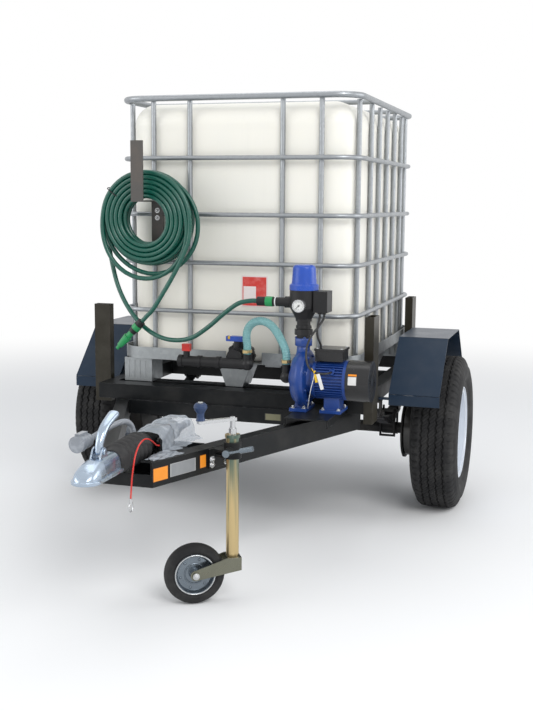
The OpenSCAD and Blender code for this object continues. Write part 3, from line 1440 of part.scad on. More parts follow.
chassis_frame();
drawbar_arms();
corner_posts();
pump_shelf();
mudguards();
spring_hangers();
leaf_springs();
axle_beam();
tyre_left();
tyre_right();
rim_left();
rim_right();
tank_bottle();
filler_cap();
cage_hoops();
cage_uprights();
pallet_tray();
pallet_feet();
outlet_valve();
valve_handle();
outlet_pipe();
tap_handle();
suction_hose();
hose_clamps();
pump_casing();
motor_body();
terminal_box();
fan_cover();
pump_rotor();
riser_union();
controller_body();
controller_dome();
gauge_case();
gauge_needle();
pump_cables();
hose_hanger();
hose_coil();
hose_lead();
hose_tail();
hose_connectors();
spray_nozzle();
jockey_clamp();
clamp_lever();
jockey_tube();
jockey_crank();
jockey_grip();
jockey_leg();
jockey_fork();
jockey_rim();
jockey_tyre();
overrun_housing();
coupling_head();
coupling_handle();
gaiter();
handbrake_lever();
lever_wrap();
breakaway_cable();
breakaway_clip();
wiring_lead();
wiring_plug();
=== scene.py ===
"""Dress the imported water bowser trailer: finishes, soft pieces, cords, small fittings, light and camera.

Lengths are metres in the row frame. Routes and sizes that repeat the part's source are given in its own
millimetres, measured from the cage's front, and moved into the row frame by place().
"""

from __future__ import annotations

import json
import logging
import math
from dataclasses import dataclass, field, replace
from enum import Enum
from typing import Any, Iterable, Sequence

import bmesh
import bpy
import numpy as np
from mathutils import Matrix, Vector

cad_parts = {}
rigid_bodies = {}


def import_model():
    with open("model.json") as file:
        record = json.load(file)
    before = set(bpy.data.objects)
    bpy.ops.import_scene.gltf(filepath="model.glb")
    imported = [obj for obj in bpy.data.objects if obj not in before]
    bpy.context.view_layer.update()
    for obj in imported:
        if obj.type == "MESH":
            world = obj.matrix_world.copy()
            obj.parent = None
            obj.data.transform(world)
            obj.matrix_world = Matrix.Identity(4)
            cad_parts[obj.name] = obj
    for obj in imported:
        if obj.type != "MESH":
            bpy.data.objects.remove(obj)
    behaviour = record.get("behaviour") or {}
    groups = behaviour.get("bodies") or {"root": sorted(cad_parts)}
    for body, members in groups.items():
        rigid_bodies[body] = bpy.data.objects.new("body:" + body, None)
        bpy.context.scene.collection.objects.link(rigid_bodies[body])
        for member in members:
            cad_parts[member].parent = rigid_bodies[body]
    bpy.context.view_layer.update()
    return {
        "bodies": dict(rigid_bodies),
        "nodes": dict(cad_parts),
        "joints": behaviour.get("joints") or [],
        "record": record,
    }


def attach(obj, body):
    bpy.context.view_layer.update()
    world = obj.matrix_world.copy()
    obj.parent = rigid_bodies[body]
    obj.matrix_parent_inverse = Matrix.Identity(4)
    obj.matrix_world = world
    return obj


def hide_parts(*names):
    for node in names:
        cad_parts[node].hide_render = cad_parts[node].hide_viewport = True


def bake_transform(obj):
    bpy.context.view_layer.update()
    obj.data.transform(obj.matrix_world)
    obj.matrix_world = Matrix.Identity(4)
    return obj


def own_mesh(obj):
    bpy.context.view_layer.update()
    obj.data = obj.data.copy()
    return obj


LOG = logging.getLogger("bowser")
Colour = tuple[float, float, float, float]
Pair = tuple[float, float]
Point = tuple[float, float, float]

MM_PER_M = 1000.0
SHIFT_Y_MM = 36.0

# Places that several pieces share with the part's source, in its millimetres
HOOP_Z = (1468.0, 1248.0, 1058.0, 863.0)
SHAFT_Z = 524.0
NOSE_Y = -1020.0
PUMP_Y, PUMP_Z = -200.0, 654.0
RISER_X = 345.0
ARM_TURN = math.radians(21.9)


def rgb(red: float, green: float, blue: float) -> Colour:
    """An opaque colour from three linear values."""
    return (red, green, blue, 1.0)


def tint(colour: Colour, factor: float, lift: float = 0.0) -> Colour:
    """A colour scaled and lifted, with no part over 1."""
    return rgb(*(min(1.0, factor * part + lift) for part in colour[:3]))


def place(at: Any) -> np.ndarray:
    """One point or many, moved from the source's millimetres into the row frame in metres."""
    return (np.asarray(at, float) + np.array([0.0, SHIFT_Y_MM, 0.0])) / MM_PER_M


# Shader expressions


class Wire:
    """A shader socket that takes part in Python sums."""

    def __init__(self, sheet: NodeSheet, socket: bpy.types.NodeSocket) -> None:
        """Keep the sheet that owns the socket."""
        self.sheet = sheet
        self.socket = socket

    def _math(self, operation: str, first: Any, second: Any) -> Wire:
        """One Math node on two values."""
        return self.sheet.node("Math", {"operation": operation}, {0: first, 1: second})

    def __add__(self, other: Any) -> Wire:
        """self + other."""
        return self._math("ADD", self, other)

    __radd__ = __add__

    def __sub__(self, other: Any) -> Wire:
        """self - other."""
        return self._math("SUBTRACT", self, other)

    def __rsub__(self, other: Any) -> Wire:
        """other - self."""
        return self._math("SUBTRACT", other, self)

    def __mul__(self, other: Any) -> Wire:
        """self * other."""
        return self._math("MULTIPLY", self, other)

    __rmul__ = __mul__

    def __pow__(self, other: Any) -> Wire:
        """self to the power of other."""
        return self._math("POWER", self, other)

    def above(self, limit: float) -> Wire:
        """1 where the value is over the limit, and 0 elsewhere."""
        return self._math("GREATER_THAN", self, limit)

    def apart(self) -> Wire:
        """The value without its sign."""
        return self._math("ABSOLUTE", self, 0.0)

    def wrap(self, period: float) -> Wire:
        """The value within one period, from 0."""
        return self._math("FLOORED_MODULO", self, period)

    def ease(self, low: float, high: float) -> Wire:
        """A smooth step from 0 at low to 1 at high."""
        inputs = {0: self, 1: low, 2: high, 3: 0.0, 4: 1.0}
        return self.sheet.node("MapRange", {"interpolation_type": "SMOOTHSTEP"}, inputs)


class NodeSheet:
    """One node tree, filled through one node method."""

    def __init__(self, owner: bpy.types.ID, output: str = "ShaderNodeOutputMaterial") -> None:
        """Start an empty tree on a material or a world, with its output.

        Args:
            owner: the material or world.
            output: the type of its output node.
        """
        self.owner = owner
        owner.use_nodes = True
        self.tree = owner.node_tree
        self.tree.nodes.clear()
        self.output = self.tree.nodes.new(output)

    def close(self, shader: Wire) -> None:
        """Join a shader to the output."""
        self.tree.links.new(shader.socket, self.output.inputs["Surface"])

    def node(
        self, kind: str, settings: dict[str, Any] | None = None, inputs: dict[int | str, Any] | None = None,
        output: int | str = 0,
    ) -> Wire:
        """Add a node.

        Args:
            kind: the node's type name after ShaderNode.
            settings: its own settings, set first.
            inputs: the values or wires of its sockets.
            output: the socket to return.

        Returns:
            The chosen output as a wire.
        """
        made = self.tree.nodes.new("ShaderNode" + kind)
        for key, value in (settings or {}).items():
            setattr(made, key, value)
        for key, value in (inputs or {}).items():
            socket = made.inputs[key]
            if isinstance(value, Wire):
                self.tree.links.new(value.socket, socket)
            else:
                socket.default_value = value
        return Wire(self, made.outputs[output])

    def coords(self) -> Wire:
        """Object coordinates, in metres."""
        return self.node("TexCoord", output="Object")

    def split(self, vector: Wire) -> list[Wire]:
        """The three values of a vector, one by one."""
        first = self.node("SeparateXYZ", None, {0: vector})
        return [Wire(self, output) for output in first.socket.node.outputs]

    def uv(self) -> list[Wire]:
        """The piece's own map, as its two values."""
        return self.split(self.node("UVMap", {"uv_map": "UVMap"}))[:2]

    def axes(self) -> list[Wire]:
        """The three object coordinates, one by one."""
        return self.split(self.coords())

    def noise(
        self, scale: float, detail: float = 3.0, rough: float = 0.5, stretch: Sequence[float] = (1, 1, 1)
    ) -> Wire:
        """Noise on object coordinates.

        Args:
            scale: cells to a metre.
            detail: octaves.
            rough: share of the finer octaves.
            stretch: a factor for each axis, below 1 to lengthen the pattern along it.

        Returns:
            The noise, from 0 to 1.
        """
        at = self.node("Mapping", None, {0: self.coords(), 3: tuple(stretch)})
        inputs = {"Vector": at, "Scale": scale, "Detail": detail, "Roughness": rough}
        return self.node("TexNoise", None, inputs)

    def cells(self, scale: float) -> Wire:
        """The own grey of each Voronoi cell, with a number of cells to a metre."""
        colour = self.node("TexVoronoi", None, {"Vector": self.coords(), "Scale": scale}, "Color")
        return self.node("SeparateColor", None, {0: colour})

    def mix(self, share: Any, first: Any, second: Any) -> Wire:
        """A colour between two colours."""
        return self.node("Mix", {"data_type": "RGBA"}, {0: share, 6: first, 7: second}, 2)

    def rounded(self, radius: float) -> Wire:
        """The normal with hard edges rounded off to a radius."""
        return self.node("Bevel", {"samples": 4}, {"Radius": radius})

    def edges(self, rounded: Wire) -> Wire:
        """How far the rounded normal leaves the flat one: 0 on faces, up to 1 along edges.

        Args:
            rounded: the rounded normal.

        Returns:
            The edge mask.
        """
        flat = self.node("NewGeometry", output="True Normal")
        inputs = {0: rounded, 1: flat}
        along = self.node("VectorMath", {"operation": "DOT_PRODUCT"}, inputs, "Value")
        return (1.0 - along).ease(0.02, 0.25)

    def bump(self, height: Wire, strength: float, distance: float, normal: Wire | None = None) -> Wire:
        """A bumped normal from a height, on another normal where one is given."""
        inputs = {"Height": height, "Strength": strength, "Distance": distance}
        return self.node("Bump", None, inputs | ({"Normal": normal} if normal else {}))

    def surface(self, **sockets: Any) -> None:
        """Finish with one principled shader, whose sockets are named with underscores for spaces."""
        named = {key.replace("_", " "): value for key, value in sockets.items()}
        self.close(self.node("BsdfPrincipled", None, named))


# Finishes


@dataclass(frozen=True)
class Finish:
    """A named finish; each kind fills its own material."""

    name: str
    colour: Colour

    def make(self) -> bpy.types.Material:
        """Build the material.

        Returns:
            The material.
        """
        sheet = NodeSheet(bpy.data.materials.new(self.name))
        self.fill(sheet)
        return sheet.owner

    def fill(self, sheet: NodeSheet) -> None:
        """Fill an empty sheet with this kind's nodes."""
        raise NotImplementedError


@dataclass(frozen=True)
class Paint(Finish):
    """Sprayed paint with orange peel, dust that settles in patches, and thin pale edges: partly rubbed paint,
    partly painted highlight.

    Where a distance is set, what lies nearer the trailer's middle is dark: bare brake drums, and painted
    shade on the rims' inner barrels.
    """

    rough: float = 0.3
    wear_and_highlight: Colour = rgb(0.32, 0.33, 0.34)
    wear_and_highlight_share: float = 0.35
    dust: Colour = rgb(0.30, 0.28, 0.25)
    dust_share: float = 0.16
    edge: float = 0.0022
    coat: float = 0.25
    shine: float = 0.5
    drum_and_shade_x: float = 0.0

    def fill(self, sheet: NodeSheet) -> None:
        """Fill the sheet.

        Args:
            sheet: the empty sheet.
        """
        rounded = sheet.rounded(self.edge)
        patch = sheet.noise(9.0, 5.0, 0.62)
        grit = sheet.noise(260.0, 2.0)
        # Pale patches along edges: partly rubbed paint, partly painted highlight.
        edge_wear_and_highlight = sheet.edges(rounded) * sheet.noise(60.0, 4.0, 0.7).ease(0.42, 0.62)
        shade = sheet.mix(patch.ease(0.35, 0.8) * self.dust_share, self.colour, self.dust)
        shade = sheet.mix(edge_wear_and_highlight * self.wear_and_highlight_share, shade, self.wear_and_highlight)
        # Inboard of the set distance: the bare metal of the brake drums, and painted shade on the rims' inner
        # barrels.
        if self.drum_and_shade_x:
            drum_and_shade_tone = sheet.mix(patch, rgb(0.012, 0.011, 0.010), rgb(0.03, 0.026, 0.022))
            shade = sheet.mix(sheet.axes()[0].apart().above(self.drum_and_shade_x), drum_and_shade_tone, shade)
        rough = self.rough + patch * 0.22 + grit * 0.06 - 0.06
        normal = sheet.bump(grit + sheet.noise(900.0, 1.0) * 0.4, 0.08, 0.0006, rounded)
        sheet.surface(
            Base_Color=shade, Roughness=rough, Normal=normal, Coat_Weight=self.coat, Coat_Roughness=0.12,
            Specular_IOR_Level=self.shine,
        )


@dataclass(frozen=True)
class Zinc(Finish):
    """Zinc coat with a spangle of crystals and runs, and a painted highlight along its edges."""

    rough: float = 0.36
    spangle: float = 90.0
    contrast: float = 0.22
    metallic: float = 0.85
    bump: float = 0.08

    def fill(self, sheet: NodeSheet) -> None:
        """Fill the sheet.

        Args:
            sheet: the empty sheet.
        """
        rounded = sheet.rounded(0.0012)
        tone = sheet.cells(self.spangle)
        cloud = sheet.noise(14.0, 4.0, 0.6)
        shade = sheet.mix(tone * self.contrast + cloud * 0.35, self.colour, tint(self.colour, 0.62))
        # Painted highlight along every edge.
        shade = sheet.mix(sheet.edges(rounded) * 0.5, shade, tint(self.colour, 1.22))
        rough = self.rough + tone * 0.12 + cloud * 0.18 - 0.12
        normal = sheet.bump(cloud + sheet.noise(320.0, 2.0) * 0.3, self.bump, 0.0008, rounded)
        sheet.surface(Base_Color=shade, Metallic=self.metallic, Roughness=rough, Normal=normal)


@dataclass(frozen=True)
class Chromate(Finish):
    """Yellow passivated zinc: gold that turns green and grey in streaks along the tube."""

    rough: float = 0.24

    def fill(self, sheet: NodeSheet) -> None:
        """Fill the sheet.

        Args:
            sheet: the empty sheet.
        """
        rounded = sheet.rounded(0.0008)
        streak = sheet.noise(46.0, 2.0, 0.45, stretch=(1.0, 1.0, 0.03))
        cloud = sheet.noise(30.0, 3.0, 0.5, stretch=(1.0, 1.0, 0.3))
        shade = sheet.mix(streak.ease(0.44, 0.6), self.colour, rgb(0.10, 0.15, 0.12))
        shade = sheet.mix(streak.ease(0.62, 0.72) * 0.6, shade, rgb(0.30, 0.30, 0.28))
        shade = sheet.mix(cloud.ease(0.5, 0.75) * 0.25, shade, rgb(0.62, 0.60, 0.50))
        rough = self.rough + cloud * 0.14
        sheet.surface(Base_Color=shade, Metallic=0.85, Roughness=rough, Normal=rounded)


@dataclass(frozen=True)
class Plastic(Finish):
    """Moulded plastic with a fine grain and faint scuffs."""

    rough: float = 0.42
    grain: float = 700.0
    depth: float = 0.12
    scuff: Colour = rgb(0.35, 0.35, 0.35)
    scuff_share: float = 0.08
    edge: float = 0.0012
    shine: float = 0.5

    def fill(self, sheet: NodeSheet) -> None:
        """Fill the sheet.

        Args:
            sheet: the empty sheet.
        """
        rounded = sheet.rounded(self.edge)
        grain = sheet.noise(self.grain, 2.0)
        cloud = sheet.noise(24.0, 4.0, 0.6)
        scuffs = sheet.noise(70.0, 5.0, 0.75, (1.0, 0.25, 1.0)).ease(0.58, 0.75)
        shade = sheet.mix((scuffs + sheet.edges(rounded) * 0.6) * self.scuff_share, self.colour, self.scuff)
        shade = sheet.mix(cloud.ease(0.4, 0.8) * 0.12, shade, rgb(0.0, 0.0, 0.0))
        rough = self.rough + cloud * 0.14 + grain * 0.06 - 0.1
        sheet.surface(
            Base_Color=shade, Roughness=rough, Normal=sheet.bump(grain, self.depth, 0.0004, rounded),
            Specular_IOR_Level=self.shine,
        )


@dataclass(frozen=True)
class Bottle(Finish):
    """Blow-moulded polyethylene: milky, softly mottled, with flow lines down the walls."""

    def fill(self, sheet: NodeSheet) -> None:
        """Fill the sheet.

        Args:
            sheet: the empty sheet.
        """
        cloud = sheet.noise(2.6, 4.0, 0.55)
        flow = sheet.noise(30.0, 4.0, 0.6, (1.0, 1.0, 0.06))
        grain = sheet.noise(420.0, 2.0)
        low = 1.0 - sheet.axes()[2].ease(0.68, 1.25)
        shade = sheet.mix(cloud.ease(0.3, 0.75), self.colour, rgb(0.80, 0.79, 0.73))
        shade = sheet.mix(flow.ease(0.5, 0.8) * 0.16, shade, rgb(0.70, 0.69, 0.64))
        shade = sheet.mix(low * 0.16, shade, rgb(0.74, 0.66, 0.54))
        rough = 0.34 + flow * 0.14 + grain * 0.05
        normal = sheet.bump(flow * 0.5 + cloud + grain * 0.04, 0.14, 0.003)
        sheet.surface(
            Base_Color=shade, Roughness=rough, Normal=normal, Subsurface_Weight=0.15,
            Subsurface_Radius=(0.03, 0.03, 0.025), Subsurface_Scale=0.4,
        )


@dataclass(frozen=True)
class Rubber(Finish):
    """Black rubber with dust in its grain."""

    rough: float = 0.72
    dust_share: float = 0.3
    shine: float = 0.4

    def fill(self, sheet: NodeSheet) -> None:
        """Fill the sheet.

        Args:
            sheet: the empty sheet.
        """
        cloud = sheet.noise(16.0, 5.0, 0.65)
        grain = sheet.noise(500.0, 3.0, 0.6)
        shade = sheet.mix(cloud.ease(0.35, 0.8) * self.dust_share, self.colour, rgb(0.085, 0.083, 0.078))
        rough = self.rough + grain * 0.14 - cloud * 0.1
        sheet.surface(
            Base_Color=shade, Roughness=rough, Normal=sheet.bump(grain, 0.25, 0.0005),
            Specular_IOR_Level=self.shine,
        )


@dataclass(frozen=True)
class HoseSkin(Finish):
    """Extruded hose: a knitted ply shows faintly under a clear skin, with a paler line along it."""

    turns: float = 8.0
    climb: float = 210.0
    rough: float = 0.26

    def fill(self, sheet: NodeSheet) -> None:
        """Fill the sheet.

        Args:
            sheet: the empty sheet.
        """
        around, along = sheet.uv()
        one = (around * self.turns + along * self.climb).wrap(1.0) - 0.5
        two = (around * self.turns - along * self.climb).wrap(1.0) - 0.5
        knit = 1.0 - (one.apart() * two.apart() * 4.0).ease(0.0, 0.35)
        line = 1.0 - (around - 0.25).apart().ease(0.02, 0.06)
        cloud = sheet.noise(20.0, 3.0)
        deep = tint(self.colour, 0.55)
        shade = sheet.mix(knit * 0.3, self.colour, deep)
        shade = sheet.mix(line * 0.22, shade, tint(self.colour, 2.2, 0.01))
        shade = sheet.mix(cloud.ease(0.45, 0.8) * 0.15, shade, deep)
        rough = self.rough + cloud * 0.16
        sheet.surface(
            Base_Color=shade, Roughness=rough, Normal=sheet.bump(knit, 0.05, 0.0004),
            Specular_IOR_Level=0.6,
        )


@dataclass(frozen=True)
class ClearSkin(Finish):
    """Clear or milky plastic seen through, with a tint and a grain."""

    alpha: float = 0.55
    rough: float = 0.2
    crease: float = 60.0
    depth: float = 0.2

    def fill(self, sheet: NodeSheet) -> None:
        """Fill the sheet.

        Args:
            sheet: the empty sheet.
        """
        folds = sheet.noise(self.crease, 4.0, 0.6)
        cloud = sheet.noise(22.0, 3.0)
        shade = sheet.mix(folds.ease(0.4, 0.7) * 0.6, self.colour, tint(self.colour, 1.25, 0.05))
        see = self.alpha + cloud * 0.2 + folds.ease(0.5, 0.75) * 0.15 - 0.1
        sheet.surface(
            Base_Color=shade, Roughness=self.rough + folds * 0.15, Alpha=see,
            Normal=sheet.bump(folds, self.depth, 0.002),
        )


@dataclass(frozen=True)
class BlankLabel(Finish):
    """A printed blank: a plain field with a paler margin, sun-faded in patches."""

    margin: Colour = rgb(0.8, 0.8, 0.78)
    border: float = 0.04
    rough: float = 0.35
    panel: tuple[float, float, float, float] = (0.0, 0.0, 0.0, 0.0)

    def fill(self, sheet: NodeSheet) -> None:
        """Fill the sheet.

        Args:
            sheet: the empty sheet.
        """
        across, up = sheet.uv()
        inner = 0.5 - self.border
        wide, high = ((value - 0.5).apart().ease(inner - 0.004, inner) for value in (across, up))
        rim = 1.0 - (1.0 - wide) * (1.0 - high)
        fade = sheet.noise(30.0, 4.0, 0.6)
        shade = sheet.mix(fade.ease(0.4, 0.8) * 0.18, self.colour, self.margin)
        shade = sheet.mix(rim * 0.8, shade, self.margin)
        left, right, low, top = self.panel
        block = across.above(left) * (1.0 - across.above(right)) * up.above(low) * (1.0 - up.above(top))
        shade = sheet.mix(block * 0.85, shade, self.margin)
        rough = self.rough + fade * 0.15
        sheet.surface(Base_Color=shade, Roughness=rough, Normal=sheet.bump(fade, 0.05, 0.0005))


@dataclass(frozen=True)
class Dial(Finish):
    """A gauge's face: white with tick marks round its lower three quarters."""

    def fill(self, sheet: NodeSheet) -> None:
        """Fill the sheet.

        Args:
            sheet: the empty sheet.
        """
        turn, out = sheet.uv()
        fine = ((turn * 40.0).wrap(1.0) - 0.5).apart()
        coarse = ((turn * 8.0).wrap(1.0) - 0.5).apart()
        ring = out.ease(0.66, 0.67) * (1.0 - out.ease(0.86, 0.87))
        bold = out.ease(0.55, 0.56) * (1.0 - out.ease(0.86, 0.87))
        gap = 1.0 - (turn - 0.75).apart().ease(0.12, 0.125)
        mark = ring * fine.ease(0.36, 0.42) + bold * coarse.ease(0.45, 0.47)
        shade = sheet.mix(mark * (1.0 - gap), self.colour, rgb(0.02, 0.02, 0.02))
        sheet.surface(Base_Color=shade, Roughness=0.4 + sheet.noise(300.0, 2.0) * 0.1)


class Coat(Enum):
    """Every finish on the object."""

    FRAME = Paint("frame_black", rgb(0.005, 0.006, 0.007), rough=0.3, dust_share=0.05, coat=0.04, shine=0.17)
    # Painted reflection: black paint tinted navy for the blue sky that it reflects.
    GUARD = Paint("guard_black", rgb(0.012, 0.027, 0.052), rough=0.24, dust_share=0.04, coat=0.06, shine=0.2)
    UNDER = Paint("axle_black", rgb(0.007, 0.007, 0.008), rough=0.5, dust_share=0.15, coat=0.02, shine=0.25)
    # Painted reflection: black paint tinted brown for the brownish surroundings that it reflects.
    POST = Paint("post_bronze", rgb(0.024, 0.021, 0.014), rough=0.3, dust_share=0.06, coat=0.05, shine=0.2)
    HANGER = Paint("hanger_grey", rgb(0.055, 0.052, 0.048), rough=0.42, dust=rgb(0.2, 0.13, 0.09),
                   dust_share=0.22)
    RIM = Paint("rim_silver", rgb(0.62, 0.66, 0.72), rough=0.26, wear_and_highlight=rgb(0.8, 0.8, 0.8), coat=0.4,
                dust_share=0.06, drum_and_shade_x=0.666)
    PUMP = Paint("pump_blue", rgb(0.007, 0.047, 0.24), rough=0.27, dust_share=0.04,
                 wear_and_highlight=rgb(0.3, 0.4, 0.6), coat=0.2, shine=0.4)
    CAGE = Zinc("cage_zinc", rgb(0.36, 0.38, 0.40))
    TRAY = Zinc("pallet_zinc", rgb(0.34, 0.36, 0.37), spangle=55.0, rough=0.42)
    BRIGHT = Zinc("bright_zinc", rgb(0.60, 0.61, 0.62), spangle=30.0, rough=0.24, contrast=0.05, bump=0.0)
    YELLOW_ZINC = Chromate("yellow_zinc", rgb(0.56, 0.43, 0.22))
    OLIVE_ZINC = Zinc("olive_zinc", rgb(0.20, 0.20, 0.155), spangle=26.0, rough=0.24, contrast=0.1, bump=0.0)
    DARK_ZINC = Zinc("dark_zinc", rgb(0.20, 0.235, 0.27), spangle=26.0, rough=0.2, contrast=0.1, bump=0.0)
    BLUE_ZINC = Zinc("blue_zinc", rgb(0.42, 0.50, 0.60), spangle=30.0, rough=0.2, contrast=0.05, bump=0.0)
    SPRING = Zinc("spring_steel", rgb(0.06, 0.06, 0.065), spangle=60.0, rough=0.5, metallic=0.5)
    BAND = Zinc("clamp_band", rgb(0.62, 0.48, 0.24), spangle=200.0, rough=0.3, contrast=0.1)
    TANK = Bottle("tank_milky", rgb(0.83, 0.81, 0.74))
    TYRE = Rubber("tyre_rubber", rgb(0.012, 0.012, 0.013), shine=0.3)
    RUBBER = Rubber("soft_rubber", rgb(0.013, 0.013, 0.014), rough=0.55, dust_share=0.15)
    CABLE = Rubber("cable_black", rgb(0.012, 0.012, 0.013), rough=0.42, dust_share=0.08)
    BLACK = Plastic("black_plastic", rgb(0.009, 0.009, 0.010), shine=0.35)
    GLOSS_BLACK = Plastic("gloss_black", rgb(0.010, 0.010, 0.011), rough=0.24, depth=0.05)
    BLUE = Plastic("blue_plastic", rgb(0.012, 0.070, 0.42), rough=0.28, scuff=rgb(0.4, 0.5, 0.8))
    NAVY = Plastic("navy_plastic", rgb(0.012, 0.036, 0.105), rough=0.4, scuff=rgb(0.2, 0.3, 0.5))
    RED = Plastic("red_plastic", rgb(0.62, 0.022, 0.014), rough=0.3, scuff=rgb(0.9, 0.5, 0.4))
    YELLOW = Plastic("yellow_plastic", rgb(0.78, 0.50, 0.02), rough=0.35, scuff=rgb(0.9, 0.8, 0.4))
    WHITE = Plastic("white_plastic", rgb(0.80, 0.80, 0.79), rough=0.35, scuff=rgb(0.4, 0.4, 0.4))
    GREEN = Plastic("green_plastic", rgb(0.010, 0.26, 0.075), rough=0.3, scuff=rgb(0.4, 0.7, 0.5))
    HOSE = HoseSkin("hose_green", rgb(0.0015, 0.085, 0.058), rough=0.2)
    CLEAR = ClearSkin("clear_hose", rgb(0.19, 0.42, 0.43), alpha=0.8, crease=300.0, depth=0.05)
    FILM = ClearSkin("clear_film", rgb(0.46, 0.50, 0.55), alpha=0.62, crease=30.0, depth=0.4, rough=0.12)
    BAGGED = ClearSkin("bagged_plastic", rgb(0.27, 0.29, 0.32), alpha=0.92, crease=45.0, depth=0.5,
                       rough=0.12)
    GLASS = ClearSkin("gauge_glass", rgb(0.9, 0.92, 0.92), alpha=0.1, crease=40.0, depth=0.0, rough=0.03)
    CARD = BlankLabel("red_card", rgb(0.60, 0.035, 0.025), panel=(0.08, 0.56, 0.14, 0.66))
    PLATE = BlankLabel("brass_plate", rgb(0.20, 0.19, 0.11), margin=rgb(0.03, 0.03, 0.03), border=0.05)
    ORANGE = BlankLabel("orange_label", rgb(0.83, 0.27, 0.010), margin=rgb(0.45, 0.13, 0.01), border=0.03)
    GREY_LABEL = BlankLabel("grey_label", rgb(0.22, 0.23, 0.24), margin=rgb(0.4, 0.4, 0.4), border=0.03)
    PALE_LABEL = BlankLabel("pale_label", rgb(0.72, 0.72, 0.70), margin=rgb(0.1, 0.1, 0.1), border=0.03)
    FACE = Dial("dial_face", rgb(0.82, 0.82, 0.80))


class Paintbox:
    """Makes each finish once and hands it out."""

    def __init__(self) -> None:
        """Start with nothing made."""
        self._made: dict[Coat, bpy.types.Material] = {}

    def get(self, coat: Coat) -> bpy.types.Material:
        """The material of a finish.

        Args:
            coat: the finish.

        Returns:
            The material.
        """
        if coat not in self._made:
            self._made[coat] = coat.value.make()
        return self._made[coat]


# Surfaces worked out with numpy


@dataclass
class Shell:
    """Faces on an array of points, with a map value for each face corner."""

    verts: np.ndarray
    quads: np.ndarray
    tris: np.ndarray
    quad_uv: np.ndarray
    tri_uv: np.ndarray

    def __add__(self, other: Shell) -> Shell:
        """Both shells side by side in one.

        Args:
            other: the shell to add.

        Returns:
            One shell.
        """
        step = len(self.verts)
        return Shell(*(np.vstack(both) for both in (
            (self.verts, other.verts), (self.quads, other.quads + step), (self.tris, other.tris + step),
            (self.quad_uv, other.quad_uv), (self.tri_uv, other.tri_uv),
        )))

    def moved(self, turn: np.ndarray, shift: np.ndarray) -> Shell:
        """A copy turned by a 3 by 3 array and then shifted."""
        return replace(self, verts=self.verts @ turn.T + shift)

    def placed(self) -> Shell:
        """A copy moved from the source's millimetres into the row frame."""
        return replace(self, verts=place(self.verts))

    def area(self) -> float:
        """The quads' area: half of the cross product of each one's diagonals."""
        a, b, c, d = (self.verts[self.quads[:, k]] for k in range(4))
        return float((np.linalg.norm(np.cross(c - a, d - b), axis=1) / 2).sum())

    def repeated(self, turns: np.ndarray, shifts: np.ndarray) -> Shell:
        """Copies at many places in one shell.

        Args:
            turns: rotations, n by 3 by 3.
            shifts: places, n by 3.

        Returns:
            One shell with every copy.
        """
        count, size = len(shifts), len(self.verts)
        verts = np.einsum("kij,pj->kpi", turns, self.verts) + shifts[:, None, :]
        step = (np.arange(count) * size)[:, None, None]
        return Shell(
            verts.reshape(-1, 3), (self.quads + step).reshape(-1, 4), (self.tris + step).reshape(-1, 3),
            np.tile(self.quad_uv, (count, 1, 1)), np.tile(self.tri_uv, (count, 1, 1)),
        )


def weave(
    grid: np.ndarray, ring: bool = False, loop: bool = False, cap_first: bool = False, cap_last: bool = False,
    along: np.ndarray | None = None,
) -> Shell:
    """Faces over a grid of points.

    Args:
        grid: n rows of m points.
        ring: close each row into a ring.
        loop: close the last row onto the first.
        cap_first: close the first ring with a fan to its middle.
        cap_last: close the last ring with a fan to its middle.
        along: the map's second value for each row, by default 0 to 1.

    Returns:
        The shell.
    """
    n, m = grid.shape[:2]
    rows = np.arange(n if loop else n - 1)
    cols = np.arange(m if ring else m - 1)
    i, j = np.meshgrid(rows, cols, indexing="ij")
    corners_i = np.stack([i, i + 1, i + 1, i], -1)
    corners_j = np.stack([j, j, j + 1, j + 1], -1)
    quads = ((corners_i % n) * m + corners_j % m).reshape(-1, 4)
    level = np.linspace(0.0, 1.0, n) if along is None else np.asarray(along, float)
    level = np.append(level, level[-1] + (level[-1] - level[-2]))
    quad_uv = np.stack([corners_j / (m if ring else m - 1), level[corners_i]], -1).reshape(-1, 4, 2)
    verts = grid.reshape(-1, 3)
    tris, tri_uv = np.zeros((0, 3), int), np.zeros((0, 3, 2))
    for wanted, row in ((cap_first, 0), (cap_last, n - 1)):
        if wanted:
            pole = len(verts)
            verts = np.vstack([verts, grid[row].mean(0)])
            k = np.arange(m)
            tris = np.vstack([tris, np.stack([np.full(m, pole), row * m + k, row * m + (k + 1) % m], -1)])
            share = np.stack([k + 0.5, k, k + 1], -1) / m
            tri_uv = np.vstack([tri_uv, np.stack([share, np.full((m, 3), level[row])], -1)])
    return Shell(verts, quads, tris, quad_uv, tri_uv)


def points(x: Any, y: Any, z: Any) -> np.ndarray:
    """Points from their three values, each spread over the shape that all three fill."""
    return np.stack(np.broadcast_arrays(x, y, z), -1)


def closed(grid: np.ndarray, along: np.ndarray | None = None) -> Shell:
    """A skin over rings, with a fan over the first and the last."""
    return weave(grid, ring=True, cap_first=True, cap_last=True, along=along)


def joined(shells: Iterable[Shell]) -> Shell:
    """Many shells in one."""
    first, *rest = shells
    return sum(rest, first)


def circle(count: int, start: float = 0.0) -> np.ndarray:
    """Even angles round one turn, the first of them at a share of a step."""
    return 2 * np.pi * (np.arange(count) + start) / count


def soft(values: np.ndarray, power: float) -> np.ndarray:
    """A power of values with their sign kept: it squares off a sine or a cosine."""
    return np.sign(values) * np.abs(values) ** power


def smooth(values: np.ndarray, reach: int = 3) -> np.ndarray:
    """A running mean over each value and its neighbours on both sides."""
    width = 2 * reach + 1
    return np.convolve(np.pad(values, reach, "edge"), np.ones(width) / width, "valid")


def unit(vectors: np.ndarray) -> np.ndarray:
    """Vectors brought to length 1."""
    return vectors / np.linalg.norm(vectors, axis=-1, keepdims=True)


